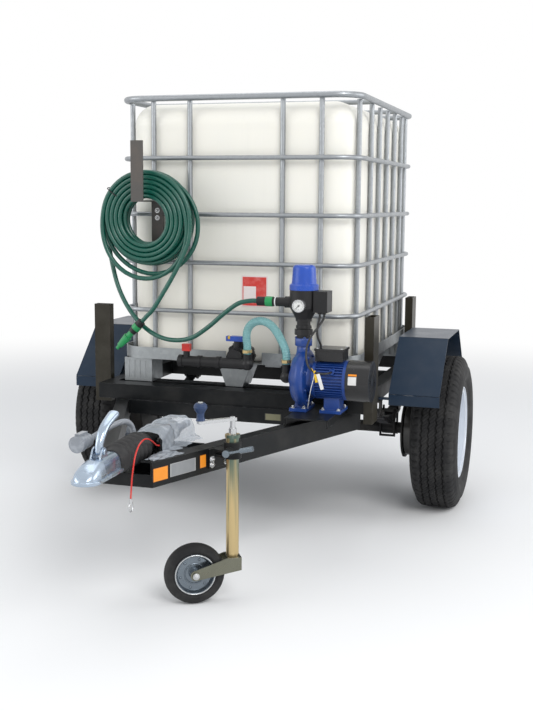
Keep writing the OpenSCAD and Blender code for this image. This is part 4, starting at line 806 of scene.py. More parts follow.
def spline(route: np.ndarray, steps: int) -> np.ndarray:
    """A Catmull-Rom curve through a route: each span is a cubic from its four nearest points.

    Args:
        route: the points to pass through.
        steps: points to a span.

    Returns:
        The curve's points, ending on the route's last one.
    """
    before, after = np.vstack([route[:1], route[:-2]]), np.vstack([route[2:], route[-1:]])
    a, b, c, d = before[:, None], route[:-1, None], route[1:, None], after[:, None]
    t = (np.arange(steps) / steps)[None, :, None]
    curve = b + t * ((c - a) / 2 + t * (a - 2.5 * b + 2 * c - d / 2 + t * (1.5 * (b - c) + (d - a) / 2)))
    return np.vstack([curve.reshape(-1, 3), route[-1:]])


def lengths(path: np.ndarray) -> np.ndarray:
    """The running length at each point of a path."""
    return np.append(0.0, np.cumsum(np.linalg.norm(np.diff(path, axis=0), axis=1)))


def shared(path: np.ndarray, count: int) -> np.ndarray:
    """The same path with a count of points at even steps along its length."""
    run = lengths(path)
    return np.stack([np.interp(np.linspace(0.0, run[-1], count), run, column) for column in path.T], -1)


def even(path: np.ndarray, step: float) -> np.ndarray:
    """The same path with points about a step apart."""
    return shared(path, max(2, int(round(lengths(path)[-1] / step))) + 1)


def tube(path: np.ndarray, radius: Any, sides: int, ref: Sequence[float]) -> np.ndarray:
    """Rings square to a path: the path plus a radius times the cosine and sine of two side directions.

    Args:
        path: points along the middle.
        radius: one radius, or one for each point.
        sides: points to a ring.
        ref: a direction that the path never takes, which sets the rings' zero.

    Returns:
        A grid of rings.
    """
    ahead = unit(np.gradient(path, axis=0))
    side = unit(np.cross(np.asarray(ref, float), ahead))
    rise = np.cross(ahead, side)
    turn = circle(sides)
    reach = np.broadcast_to(np.asarray(radius, float), (len(path),))[:, None, None]
    return path[:, None] + reach * (
        np.cos(turn)[None, :, None] * side[:, None] + np.sin(turn)[None, :, None] * rise[:, None]
    )


def turned(profile: np.ndarray, sides: int, axis: int) -> np.ndarray:
    """A profile of radius and height carried round an axis of the frame.

    Args:
        profile: rows of radius and height.
        sides: points to a ring.
        axis: 0, 1 or 2 for X, Y or Z.

    Returns:
        A grid of rings.
    """
    turn = circle(sides)
    grid = np.zeros((len(profile), sides, 3))
    grid[..., axis] = profile[:, 1:2]
    grid[..., (axis + 1) % 3] = profile[:, :1] * np.cos(turn)
    grid[..., (axis + 2) % 3] = profile[:, :1] * np.sin(turn)
    return grid


def slab(half: Sequence[float], power: float = 0.18, rows: int = 12, cols: int = 32) -> Shell:
    """A box with soft edges: a superellipsoid, whose sines and cosines are raised to a small power.

    Args:
        half: half of its three sizes.
        power: 0 for sharp edges, 1 for an ellipsoid.
        rows: rings from end to end.
        cols: points to a ring.

    Returns:
        The shell, round the origin.
    """
    lat = np.linspace(-np.pi / 2 + 0.02, np.pi / 2 - 0.02, rows)[:, None]
    lon = circle(cols, 0.5)[None, :]
    ring = soft(np.cos(lat), power)
    x, y = half[0] * ring * soft(np.cos(lon), power), half[1] * ring * soft(np.sin(lon), power)
    z = half[2] * soft(np.sin(lat), power)
    return closed(points(x, y, z))


def hex_bolt(radius: float, height: float) -> Shell:
    """A hexagon head on a washer with a stub of thread, standing on Z from 0.

    Args:
        radius: the head's, over its corners.
        height: the head's with its washer.

    Returns:
        The shell.
    """
    size = np.array([radius, height])
    washer = size * [[0.9, 0.0], [1.45, 0.0], [1.45, 0.2], [0.9, 0.2]]
    head = size * [[0.5, 0.2], [1.0, 0.2], [1.0, 0.85], [0.86, 1.0], [0.3, 1.0]]
    stub = size * [[0.45, 0.9], [0.45, 1.25], [0.36, 1.32]]
    return joined(closed(turned(part, sides, 2)) for part, sides in ((washer, 20), (head, 6), (stub, 14)))


def facing(direction: Sequence[float]) -> np.ndarray:
    """A rotation that takes Z to a direction."""
    return np.array(Vector(direction).to_track_quat("Z", "Y").to_matrix())


def link(name: str, data: bpy.types.ID) -> bpy.types.Object:
    """A new object on its data, in the scene.

    Args:
        name: its name.
        data: its mesh, camera or lamp.

    Returns:
        The object.
    """
    made = bpy.data.objects.new(name, data)
    bpy.context.scene.collection.objects.link(made)
    return made


class Workshop:
    """Turns shells into the object's pieces."""

    def __init__(self, paints: Paintbox) -> None:
        """Keep the finishes."""
        self.paints = paints

    def piece(
        self, name: str, shell: Shell, coat: Coat, slot: str, body: str = "trailer", sharp: float = 35.0
    ) -> bpy.types.Object:
        """Make a piece that rides on a body.

        Args:
            name: the piece's name.
            shell: its faces.
            coat: its finish.
            slot: the record's slot; not used.
            body: the body that it moves with, or "" for none.
            sharp: edges over this angle in degrees stay sharp.

        Returns:
            The object.
        """
        mesh = bpy.data.meshes.new(name)
        mesh.from_pydata(shell.verts.tolist(), [], shell.quads.tolist() + shell.tris.tolist())
        layer = mesh.uv_layers.new(name="UVMap")
        values = np.concatenate([shell.quad_uv.reshape(-1, 2), shell.tri_uv.reshape(-1, 2)])
        layer.data.foreach_set("uv", values.astype(np.float32).ravel())
        work = bmesh.new()
        work.from_mesh(mesh)
        bmesh.ops.recalc_face_normals(work, faces=work.faces)
        work.to_mesh(mesh)
        work.free()
        mesh.polygons.foreach_set("use_smooth", np.ones(len(mesh.polygons), bool))
        mesh.set_sharp_from_angle(angle=math.radians(sharp))
        mesh.materials.append(self.paints.get(coat))
        made = link(name, mesh)
        if body:
            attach(made, body)
        LOG.info("%s: %d faces", name, len(mesh.polygons))
        return made


@dataclass
class Assembly:
    """A sub-assembly, which makes its pieces in the workshop."""

    shop: Workshop


# Stage


@dataclass
class Studio:
    """The pale floor, the soft lamps and the camera of the photograph's view."""

    eye: Point = (1.3782, -3.9277, 1.302)
    azimuth: float = 17.3517
    pitch: float = 8.2429
    roll: float = 0.3928
    focal_px: float = 1065.65
    frame_px: tuple[int, int] = (533, 711)
    sensor_mm: float = 36.0
    floor_half: float = 30.0
    fade: Pair = (2.6, 6.5)

    def build(self) -> None:
        """Make the camera, the floor, the sky and the lamps."""
        self.camera()
        self.floor()
        self.sky()
        self.lamps()
        bpy.context.scene.view_settings.view_transform = "Standard"

    def camera(self) -> None:
        """Set the camera from its bearing, pitch, roll and focal length in pixels."""
        a, p, r = (math.radians(v) for v in (self.azimuth, self.pitch, self.roll))
        ahead = Vector((-math.sin(a) * math.cos(p), math.cos(a) * math.cos(p), -math.sin(p)))
        right = Vector((math.cos(a), math.sin(a), 0.0))
        up = right.cross(ahead)
        right, up = right * math.cos(r) + up * math.sin(r), up * math.cos(r) - right * math.sin(r)
        data = bpy.data.cameras.new("photo_camera")
        data.sensor_width = self.sensor_mm
        data.lens = self.focal_px * self.sensor_mm / max(self.frame_px)
        made = link("photo_camera", data)
        turn = Matrix((right, up, -ahead)).transposed().to_4x4()
        made.matrix_world = Matrix.Translation(self.eye) @ turn
        bpy.context.scene.camera = made

    def floor(self) -> None:
        """A pale floor that keeps the shadow near the object and fades to white far off."""
        finish = bpy.data.materials.new("pale_floor")
        sheet = NodeSheet(finish)
        x, y, _ = sheet.axes()
        far = ((x * x + y * y) ** 0.5).ease(*self.fade)
        tone = sheet.mix(sheet.noise(6.0, 3.0) * 0.06, rgb(0.90, 0.90, 0.90), rgb(0.84, 0.84, 0.84))
        matt = sheet.node("BsdfDiffuse", None, {"Color": tone})
        glow = sheet.node("Emission", None, {"Color": rgb(1, 1, 1), "Strength": 1.0})
        sheet.close(sheet.node("MixShader", None, {0: far, 1: matt, 2: glow}))
        mesh = bpy.data.meshes.new("floor")
        half = self.floor_half
        corners = [(-half, -half, 0), (half, -half, 0), (half, half, 0), (-half, half, 0)]
        mesh.from_pydata(corners, [], [(0, 1, 2, 3)])
        mesh.materials.append(finish)
        link("floor", mesh)

    def sky(self) -> None:
        """White to the camera and in reflections, and a plain grey light on the object."""
        world = bpy.data.worlds.new("studio")
        bpy.context.scene.world = world
        sheet = NodeSheet(world, "ShaderNodeOutputWorld")
        seen = sheet.node("LightPath", output="Is Camera Ray")
        paths = seen.socket.node.outputs
        shine = Wire(sheet, paths["Is Glossy Ray"])
        through = Wire(sheet, paths["Is Transmission Ray"])
        dim = sheet.node("Background", None, {0: rgb(0.93, 0.96, 1.0), 1: 0.55})
        white = sheet.node("Background", None, {0: rgb(1, 1, 1), 1: 1.0})
        bright = seen + shine + through
        sheet.close(sheet.node("MixShader", None, {0: bright, 1: dim, 2: white}))

    def lamps(self) -> None:
        """Four broad lamps: a key at the front right, a fill at the left, one above and one at the right."""
        for name, spot, aim, size, watts in (
            ("key", (3.6, -4.2, 4.6), (0, 0, 0.8), 3.2, 210.0),
            ("fill", (-4.4, -3.2, 2.6), (0, 0, 0.8), 3.6, 90.0),
            ("top", (-0.6, 1.4, 5.6), (0, 0, 0.9), 4.0, 60.0),
            ("side", (4.8, 1.4, 2.2), (0, 0, 0.9), 3.0, 70.0),
        ):
            data = bpy.data.lights.new(name, "AREA")
            data.size = size
            data.energy = watts
            lamp = link(name, data)
            lamp.location = spot
            lamp.rotation_euler = (Vector(aim) - Vector(spot)).to_track_quat("-Z", "Y").to_euler()


# Cords


@dataclass
class GardenHose(Assembly):
    """One hose from the controller, through the coil on its hook, to the nozzle."""

    diameter: float = 17.5
    hook_x: float = -318.0
    coil_z: float = 1226.0
    coil_y: float = -100.0
    pitch: float = 18.2
    layers: int = 4
    turns: float = 5.375
    outer: float = 187.0
    marks: int = 24
    marks_to_climb: float = 12.0
    points_per_mark: int = 2
    sway: Pair = (2.4, 1.1)
    hang: float = 20.0
    path_step: float = 0.009
    sides: int = 14
    nozzle_way: Point = (-95.0, -4.0, -99.0)
    sleeve_edge: float = 0.6
    collar_wall: float = 0.9
    collars: tuple[Point, Point] = ((18.1, 28.0, 198.5), (17.1, 20.0, 22.5))
    seal: Point = (16.6, 1.4, 4.0)
    seal_x: float = 235.0
    tie_turn: float = math.radians(142.0)
    tie_rows: float = 2.4
    tie_gap: float = 2.2
    tie_slack: float = 5.0
    tie_half: float = 2.0
    tie_thick: float = 0.9
    tie_square: float = 0.35
    loose: tuple[Point, ...] = ((247.0, 16.0, 34.0), (491.0, 14.0, 56.0))
    lead: tuple[Point, ...] = (
        (165, -200, 934), (140, -200, 934), (90, -200, 922), (30, -196, 880), (-30, -190, 830),
        (-100, -182, 784), (-170, -172, 768), (-245, -160, 776), (-320, -145, 812), (-390, -125, 876),
        (-445, -105, 960), (-482, -85, 1060), (-502, -73, 1150),
    )
    tail: tuple[Point, ...] = (
        (-138, -134, 1140), (-162, -146, 1075), (-196, -158, 1005), (-238, -172, 930), (-268, -181, 881),
        (-286, -183, 862), (-310, -184, 837),
    )

    def coil(self) -> np.ndarray:
        """The coil's middle line, counted in marks round each turn: the radius runs in and out with each
        layer, the level climbs between layers, and two outer turns hang loose by a squared sine.

        Returns:
            The points, in the source's millimetres.
        """
        per_layer = self.turns * self.marks
        step = np.arange(0.0, self.layers * per_layer + 1e-6, 1 / self.points_per_mark)
        layer = np.minimum(np.floor(step / per_layer), self.layers - 1)
        share = step / per_layer - layer
        radius = self.outer - self.turns * self.pitch * np.where(layer % 2 == 0, share, 1 - share)
        near = np.round(step / per_layer)
        away = step - near * per_layer
        climbing = (near > 0) & (near < self.layers) & (np.abs(away) < self.marks_to_climb / 2)
        level = np.where(climbing, near - 0.5 + away / self.marks_to_climb, layer)
        angle = np.radians(360 / self.marks * step)
        radius = radius + self.sway[0] * np.sin(angle + 0.6) + self.sway[1] * np.sin(2 * angle)
        for first, span, slack in self.loose:
            radius = radius + slack * np.sin(np.pi * np.clip((step - first) / span, 0, 1)) ** 2
        back = self.coil_y + self.pitch * (self.layers - 1) / 2
        x, z = self.hook_x - radius * np.cos(angle), self.coil_z + radius * np.sin(angle)
        return np.stack([x, back - self.pitch * level, z], -1)

    def path(self) -> np.ndarray:
        """The whole hose's middle line in the row frame, at even steps.

        Returns:
            The points, in metres.
        """
        drop = np.array([0.0, 0.0, -self.diameter])
        coil = self.coil()
        start, end = coil[0] + drop, coil[-1] + drop
        below = np.array([0.0, 0.0, -self.hang])
        lead = spline(np.vstack([self.lead, start + below, start]), 12)
        tail = spline(np.vstack([end, end + below, self.tail]), 12)
        return even(place(np.vstack([lead, coil, tail])), self.path_step)

    def build(self, frame: dict[str, Any]) -> None:
        """Args:
            frame: the loaded frame; not used.
        """
        path = self.path()
        run = lengths(path)
        wide = self.diameter / MM_PER_M
        shell = closed(tube(path, wide / 2, self.sides, (0, 1, 0)), along=run)
        hose = self.shop.piece("garden_hose", shell, Coat.HOSE, "hose_green")
        trim = [self.rings(), self.white_ring(), self.tie()]
        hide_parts("hose_lead", "hose_coil", "hose_tail")

    def sleeve(self, radius: float, thick: float, length: float) -> Shell:
        """A ring with soft edges, standing on Z from 0.

        Args:
            radius: its bore.
            thick: its wall.
            length: its length.

        Returns:
            The shell.
        """
        edge, outside = self.sleeve_edge, radius + thick
        section = np.array([
            [radius, 0.0], [outside - edge, 0.0], [outside, edge], [outside, length - edge],
            [outside - edge, length], [radius, length],
        ])
        return weave(turned(section, 40, 2), ring=True)

    def rings(self) -> bpy.types.Object:
        """The green collars of both connectors.

        Returns:
            The piece.
        """
        way = unit(np.array(self.nozzle_way))
        end = np.array(self.tail[-1], float)
        (wide, long, x), (narrow, short, off) = self.collars
        start = np.array([x, *self.lead[0][1:]])
        made = self.sleeve(wide, self.collar_wall, long).moved(facing((1, 0, 0)), start)
        made = made + self.sleeve(narrow, self.collar_wall, short).moved(facing(way), end + way * off)
        return self.shop.piece("connector_collars", made.placed(), Coat.GREEN, "fitting_green")

    def white_ring(self) -> bpy.types.Object:
        """The thin white seal on the controller's connector."""
        made = self.sleeve(*self.seal).moved(facing((1, 0, 0)), np.array([self.seal_x, *self.lead[0][1:]]))
        return self.shop.piece("connector_seal", made.placed(), Coat.WHITE, "white_plastic")

    def tie(self) -> bpy.types.Object:
        """A thin tie round the coil's outer turns, up on its left.

        Returns:
            The piece.
        """
        out = np.array([math.cos(self.tie_turn), 0.0, math.sin(self.tie_turn)])
        depth = self.pitch * (self.layers - 1) / 2 + self.diameter / 2 + self.tie_gap
        reach = (self.outer - self.tie_rows * self.pitch, self.outer + self.diameter / 2 + self.tie_slack)
        swing = circle(48)
        middle = (reach[0] + reach[1]) / 2 + (reach[1] - reach[0]) / 2 * soft(np.cos(swing), self.tie_square)
        loop = np.array([self.hook_x, self.coil_y, self.coil_z]) + middle[:, None] * out
        loop[:, 1] += depth * soft(np.sin(swing), self.tie_square)
        side = np.cross(out, [0.0, 1.0, 0.0])
        flat = np.stack([loop + side * w for w in (-self.tie_half, self.tie_half)], 1)
        thick = np.concatenate([flat, flat[:, ::-1] + self.tie_thick * unit(loop - loop.mean(0))[:, None]], 1)
        shell = weave(thick, ring=True, loop=True).placed()
        return self.shop.piece("coil_tie", shell, Coat.BLACK, "black_plastic")


@dataclass
class ThinCord:
    """A cable, lead or rope along one route."""

    name: str
    route: tuple[Point, ...]
    diameter: float
    coat: Coat
    slot: str
    node: str
    ref: Point
    far_end: str = "object"
    stiffness: str = "medium"
    lay: str = "loose"
    ribs: float = 0.0
    rib_depth: float = 0.0
    with_nodes: tuple[str, ...] = ()
    sides: int = 20
    points_per_rib: int = 6

    def build(self, shop: Workshop, frame: dict[str, Any]) -> None:
        """A ribbed one's radius follows a cosine of its length.

        Args:
            shop: makes the piece.
            frame: the loaded frame; not used.
        """
        wide, rib, groove = (size / MM_PER_M for size in (self.diameter, self.ribs, self.rib_depth))
        step = rib / self.points_per_rib if rib else wide / 1.5
        path = even(place(spline(np.array(self.route, float), 12)), step)
        run = lengths(path)
        radius = np.full(len(path), wide / 2)
        if rib:
            wave = 0.5 - 0.5 * np.cos(2 * np.pi * run / rib)
            radius = radius - groove * (1 - wave ** 0.6)
        shell = closed(tube(path, radius, self.sides, self.ref), along=run)
        cord = shop.piece(self.name, shell, self.coat, self.slot, sharp=60.0)
        if self.node:
            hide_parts(self.node)


CORDS = (
    ThinCord(
        "controller_cable",
        ((412, -226, 894.4), (412, -226, 884), (409, -234, 862), (407, -241, 838), (409, -239, 814),
         (415, -229, 793), (418, -224, 782), (418, -224, 773.3)),
        8.0, Coat.CABLE, "rubber", "pump_cables", (0.0, 1.0, 0.0),
    ),
    ThinCord(
        "motor_cable",
        ((428, -226, 894.4), (428, -226, 882), (414, -252, 852), (394, -276, 820), (384, -294, 784),
         (386, -310, 746), (400, -325, 716), (424, -334, 700), (448, -328, 694), (464, -308, 693),
         (470, -288, 693), (470, -275.3, 693)),
        8.0, Coat.CABLE, "rubber", "pump_cables", (0.3, 1.0, 0.1),
    ),
    ThinCord(
        "breakaway_rope",
        ((59, -885, 526), (59.4, -910, 533), (62, -945, 552), (64, -985, 569), (64, -1020, 573),
         (64, -1055, 562), (64, -1082, 536), (64, -1096, 505), (63, -1104, 474), (62, -1108, 440),
         (61, -1110, 412)),
        5.0, Coat.RED, "red_plastic", "breakaway_cable", (1.0, 0.0, 0.0), far_end="connector",
        stiffness="limp", lay="hanging", with_nodes=("breakaway_clip",),
    ),
    ThinCord(
        "wiring_conduit",
        ((-60, -815, 513.8), (-60, -815, 522), (-60, -821, 548), (-60, -838, 573), (-62, -863, 590),
         (-66, -893, 596), (-72, -925, 595), (-80, -958, 590), (-88, -990, 584), (-94, -1018, 578),
         (-97, -1042, 574), (-97, -1062, 574)),
        19.0, Coat.BAGGED, "rubber", "wiring_lead", (1.0, 0.0, 0.2), far_end="plug", stiffness="stiff",
        ribs=5.0, rib_depth=1.6, with_nodes=("wiring_plug",),
    ),
    ThinCord(
        "tag_string",
        ((424, -338, 694), (420, -338, 672), (410, -328, 640), (398, -306, 602), (388, -282, 570),
         (382, -266, 553)),
        2.6, Coat.WHITE, "white_plastic", "", (0.0, 1.0, 0.0), stiffness="limp", lay="hanging",
    ),
    ThinCord(
        "suction_hose_ribbed",
        ((100, -120, 720), (100, -120, 752), (97, -122, 785), (105, -126, 820), (130, -134, 845),
         (165, -143, 853), (200, -153, 843), (230, -166, 818), (256, -182, 785), (273, -194, 758),
         (280, -200, 734), (280, -200, 702)),
        32.0, Coat.CLEAR, "clear_hose", "suction_hose", (0.0, 1.0, 0.0), stiffness="stiff", lay="taut",
        ribs=8.0, rib_depth=1.6,
    ),
)


# Wheels


@dataclass
class RoadTyre(Assembly):
    """A tyre with zig-zag grooves, sipes, shoulder notches and ringed walls."""

    side: int
    radius: float = 0.325
    half_width: float = 0.1
    bead: float = 0.1783
    seat: float = 0.076
    lip_r: Pair = (0.196, 0.197)
    lip_off: tuple[float, ...] = (-0.014, -0.0045, -0.0006, 0.008)
    middle: Point = (0.76, 0.61, 0.325)
    steps: int = 640
    zigzags: int = 66
    grooves: tuple[float, ...] = (-0.044, -0.015, 0.015, 0.044)
    groove_half: float = 0.0028
    groove_depth: float = 0.008
    groove_swing: float = 0.0032
    groove_bevel: float = 0.0014
    crown_band: float = 0.002
    sipe_depth: float = 0.003
    sipe_x: float = 0.054
    sipe_slant: float = 60.0
    sipe_half: float = 0.12
    sipe_bevel: float = 0.05
    notch_depth: float = 0.0055
    notch_x: float = 0.056
    notch_low: float = 0.29
    notch_fade: Pair = (0.006, 0.012)
    notch_half: float = 0.17
    notch_bevel: float = 0.04
    wall_rings: Pair = (0.262, 0.282)
    ring_half: float = 0.0022
    ring_depth: float = 0.0016
    wall_x: float = 0.08
    wall_top: float = 0.3
    wall_curve: float = 0.06
    wall_rise: float = 0.078
    shoulder: float = 0.026
    shoulder_in: float = 0.044

    def outline(self) -> np.ndarray:
        """Half of the section, from bead to crown, mirrored: rows of radius and offset.

        Returns:
            The section's rows.
        """
        lip = np.stack([[self.bead, self.bead, *self.lip_r], np.add(self.seat, self.lip_off)], -1)
        arcs = []
        for first, last, count, curve, out, across in (
            (-40, 30, 14, self.wall_curve, self.bead + self.wall_rise, self.half_width - self.wall_curve),
            (30, 90, 10, self.shoulder, self.radius - self.shoulder, self.half_width - self.shoulder_in),
        ):
            bend = np.radians(np.linspace(first, last, count))
            arcs.append(np.stack([out + curve * np.sin(bend), across + curve * np.cos(bend)], -1))
        half = shared(np.vstack([lip, *arcs]), 46)
        tread = np.linspace(half[-1, 1], -half[-1, 1], 58)[1:-1]
        crown = np.stack([np.full(len(tread), self.radius), tread], -1)
        return np.vstack([half, crown, (half * [1, -1])[::-1]])

    def build(self) -> None:
        """Carry the section round the axle, pressing the tread in by each groove's depth."""
        section = self.outline()
        turn = circle(self.steps)[:, None]
        out, across = (np.broadcast_to(column, (self.steps, len(section))) for column in section.T)
        teeth = turn * self.zigzags / (2 * np.pi)
        saw = np.abs((teeth % 1.0) - 0.5) * 4 - 1
        depth = np.zeros_like(out)
        for groove in self.grooves:
            gap = np.abs(across - groove - self.groove_swing * saw)
            cut = np.clip((self.groove_half - gap) / self.groove_bevel + 0.5, 0, 1)
            depth = np.maximum(depth, self.groove_depth * cut)
        sipe = np.abs(((teeth * 2 + across * self.sipe_slant) % 1.0) - 0.5)
        middle = (np.abs(across) < self.sipe_x) & (out > self.radius - self.crown_band)
        cut = self.sipe_depth * np.clip((self.sipe_half - sipe) / self.sipe_bevel, 0, 1)
        depth = np.maximum(depth, np.where(middle, cut, 0))
        notch = np.abs(((teeth + 0.25) % 1.0) - 0.5)
        aside, outward = (np.abs(across) - self.notch_x, out - self.notch_low)
        edge = np.clip(aside / self.notch_fade[0], 0, 1) * np.clip(outward / self.notch_fade[1], 0, 1)
        cut = np.clip((self.notch_half - notch) / self.notch_bevel, 0, 1)
        depth = np.maximum(depth, self.notch_depth * edge * cut)
        rings = sum(np.exp(-(((out - ring) / self.ring_half) ** 2)) for ring in self.wall_rings)
        wall_zone = (np.abs(across) > self.wall_x) & (out < self.wall_top)
        reach = out - depth
        width = np.abs(across) - self.ring_depth * np.where(wall_zone, 1 - rings, 0)
        x = self.side * self.middle[0] + np.sign(across) * width
        y = self.middle[1] + reach * np.cos(turn)
        z = self.middle[2] + reach * np.sin(turn)
        hand = "left" if self.side < 0 else "right"
        shell = weave(points(x, y, z), loop=True)
        tyre = self.shop.piece(f"tyre_tread_{hand}", shell, Coat.TYRE, "tyre", f"wheel_{hand}", sharp=50.0)
        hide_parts(f"tyre_{hand}")


# Tank


@dataclass
class TankSkin(Assembly):
    """The moulded bottle as rings of rounded rectangles, from its floor to the dish and the filler neck."""

    half: Pair = (461.4, 561.4)
    corner: float = 90.0
    floor_z: float = 665.3
    floor_steps: tuple[Pair, ...] = ((0.0, 18.0), (8.0, 6.0))
    wall_start: float = 26.0
    press_start: float = 30.0
    top_z: float = 1685.0
    middle_y: float = 600.0
    dish_r: float = 130.0
    dish_floor: float = 1640.0
    neck_r: float = 70.0
    neck_top: float = 1672.0
    bore_r: float = 62.0
    arc_points: int = 14
    flat_points: int = 26
    wave: float = 1.2
    wave_x: Pair = (70.0, 160.0)
    wave_y: Pair = (90.0, 120.0)
    hoop_press: float = 2.0
    hoop_reach: float = 16.0
    corner_power: int = 9
    outlet: Pair = (45.0, 701.0)
    spout: tuple[Pair, ...] = ((34, 44), (34, 6), (36, 4), (36, 0), (34, -2), (34, -12), (25, -12), (25, 40))

    def rings(self) -> np.ndarray:
        """Rows of height, half width, half depth and corner radius, from the floor to inside the neck.

        Returns:
            The rows.
        """
        a, b = self.half
        walls = np.linspace(self.floor_z + self.wall_start, self.top_z - self.corner, 64)
        swing = np.radians(np.linspace(0, 90, 14))[1:]
        inset = self.corner * (1 - np.cos(swing))
        rows = [[self.floor_z + up, a - i, b - i, self.corner - i] for up, i in self.floor_steps]
        rows += [[z, a, b, self.corner] for z in walls]
        rows += [[self.top_z - self.corner + self.corner * math.sin(s), a - i, b - i, self.corner - i + 0.05]
                 for s, i in zip(swing, inset)]
        top_a, top_b, r = a - self.corner, b - self.corner, self.dish_r + 8
        rows += [[self.top_z, top_a + (r - top_a) * share, top_b + (r - top_b) * share, r * share + 0.05]
                 for share in np.linspace(0, 1, 9)[1:]]
        rows += [[z, r, r, r] for z, r in (
            (self.top_z - 2, self.dish_r + 2), (self.top_z - 8, self.dish_r),
            (self.dish_floor + 6, self.dish_r), (self.dish_floor, self.dish_r - 6),
            (self.dish_floor, self.neck_r + 3), (self.dish_floor + 3, self.neck_r),
            (self.neck_top, self.neck_r), (self.neck_top, self.bore_r), (self.dish_floor - 20, self.bore_r),
        )]
        return np.array(rows, float)

    def build(self) -> None:
        """Loft the rings, pressing the walls in a little behind the hoops and in slow waves."""
        rows = self.rings()
        arc = np.radians(np.linspace(0, 90, self.arc_points))
        flat = np.linspace(0, 1, self.flat_points + 2)[1:-1]
        z, a, b, r = (column[:, None] for column in rows.T)
        arcs, sides = [], []
        for k, (sx, sy) in enumerate(((1, 1), (-1, 1), (-1, -1), (1, -1))):
            turn = arc + k * np.pi / 2
            arcs.append(np.stack([sx * (a - r) + r * np.cos(turn), sy * (b - r) + r * np.sin(turn)]))
        for this, following in zip(arcs, arcs[1:] + arcs[:1]):
            sides += [this, this[..., -1:] + flat * (following[..., :1] - this[..., -1:])]
        x, y = np.concatenate(sides, -1)
        z = np.broadcast_to(z, x.shape)
        wall = ((z > self.floor_z + self.press_start) & (z < self.top_z - self.corner)).astype(float)
        (long_x, rise_x), (long_y, rise_y) = self.wave_x, self.wave_y
        press = self.wave * (1 + np.sin(x / long_x + z / rise_x) * np.sin(y / long_y - z / rise_y))
        for band in HOOP_Z:
            press = press + self.hoop_press * np.exp(-(((z - band) / self.hoop_reach) ** 2))
        press = press * wall
        power = self.corner_power
        out = unit(np.stack([soft(x / self.half[0], power), soft(y / self.half[1], power)], -1))
        grid = np.stack([x - press * out[..., 0], y + self.middle_y - press * out[..., 1], z], -1)
        spout = turned(np.array(self.spout, float), 48, 1) + np.array([self.outlet[0], 0.0, self.outlet[1]])
        shell = closed(place(grid)) + weave(place(spout), ring=True)
        skin = self.shop.piece("tank_skin", shell, Coat.TANK, "bottle", sharp=40.0)
        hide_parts("tank_bottle")


# Springs


@dataclass
class LeafSprings(Assembly):
    """The two leaf packs: arched bars under a main leaf with eyes, each half arched from eye to axle."""

    middle: Pair = (525.0, 574.0)
    half: float = 330.0
    camber: float = 60.0
    eye_z: float = 444.0
    width: float = 45.0
    leaf: float = 7.0
    shorter: tuple[float, ...] = (264.0, 212.0, 160.0, 108.0)
    bore: float = 7.3
    eye: float = 17.0
    edge: float = 0.8
    bend: Pair = (285.0, 52.0)
    bend_z: float = 400.0

    def bar(self, side: int, end: int, reach: float, thick: float, level: float) -> Shell:
        """Half a leaf: a rectangle with soft edges carried along a circle's arc from the axle outwards.

        Args:
            side: -1 for the left pack and 1 for the right.
            end: -1 for the front half and 1 for the rear.
            reach: the half's length along the trailer.
            thick: the leaf's thickness.
            level: how far it lies under the main leaf.

        Returns:
            The shell.
        """
        radius = (self.half**2 + self.camber**2) / (2 * self.camber)
        arc = np.linspace(1e-4, math.asin(reach / radius), 25)[:, None]
        turn = circle(16, 0.5)[None, :]
        depth = radius - thick / 2 - thick / 2 * soft(np.sin(turn), 0.2)
        x = side * self.middle[0] + self.width / 2 * soft(np.cos(turn), 0.2)
        y = self.middle[1] + end * depth * np.sin(arc)
        z = self.eye_z - self.camber - level + radius - depth * np.cos(arc)
        return closed(place(points(x, y, z)))

    def rolled(self, side: int, end: int) -> Shell:
        """The eye: a rectangle with soft corners turned round the pin.

        Args:
            side: -1 for the left pack and 1 for the right.
            end: -1 for the front eye and 1 for the rear.

        Returns:
            The shell.
        """
        w, inner = self.width / 2, self.eye - self.edge
        profile = np.array([
            [self.bore, -w], [inner, -w], [self.eye, self.edge - w], [self.eye, w - self.edge], [inner, w],
            [self.bore, w],
        ])
        at = np.array([side * self.middle[0], self.middle[1] + end * self.half, self.eye_z + 8])
        return weave(place(turned(profile, 40, 0) + at), ring=True, loop=True)

    def build(self) -> None:
        """Stack the leaves of both packs into a front piece and a rear piece, on no body."""
        for end, name in ((-1, "springs_front"), (1, "springs_rear")):
            shells = [self.bar(s, end, self.half, self.leaf, 0.0) + self.rolled(s, end) for s in (-1, 1)]
            shells += [
                self.bar(s, end, reach, self.leaf - 0.4, (k + 1) * (self.leaf + 0.2))
                for s in (-1, 1) for k, reach in enumerate(self.shorter)
            ]
            pack = self.shop.piece(name, joined(shells), Coat.SPRING, "spring_steel", body="")
            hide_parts("leaf_springs")
            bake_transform(pack)


# Coupling


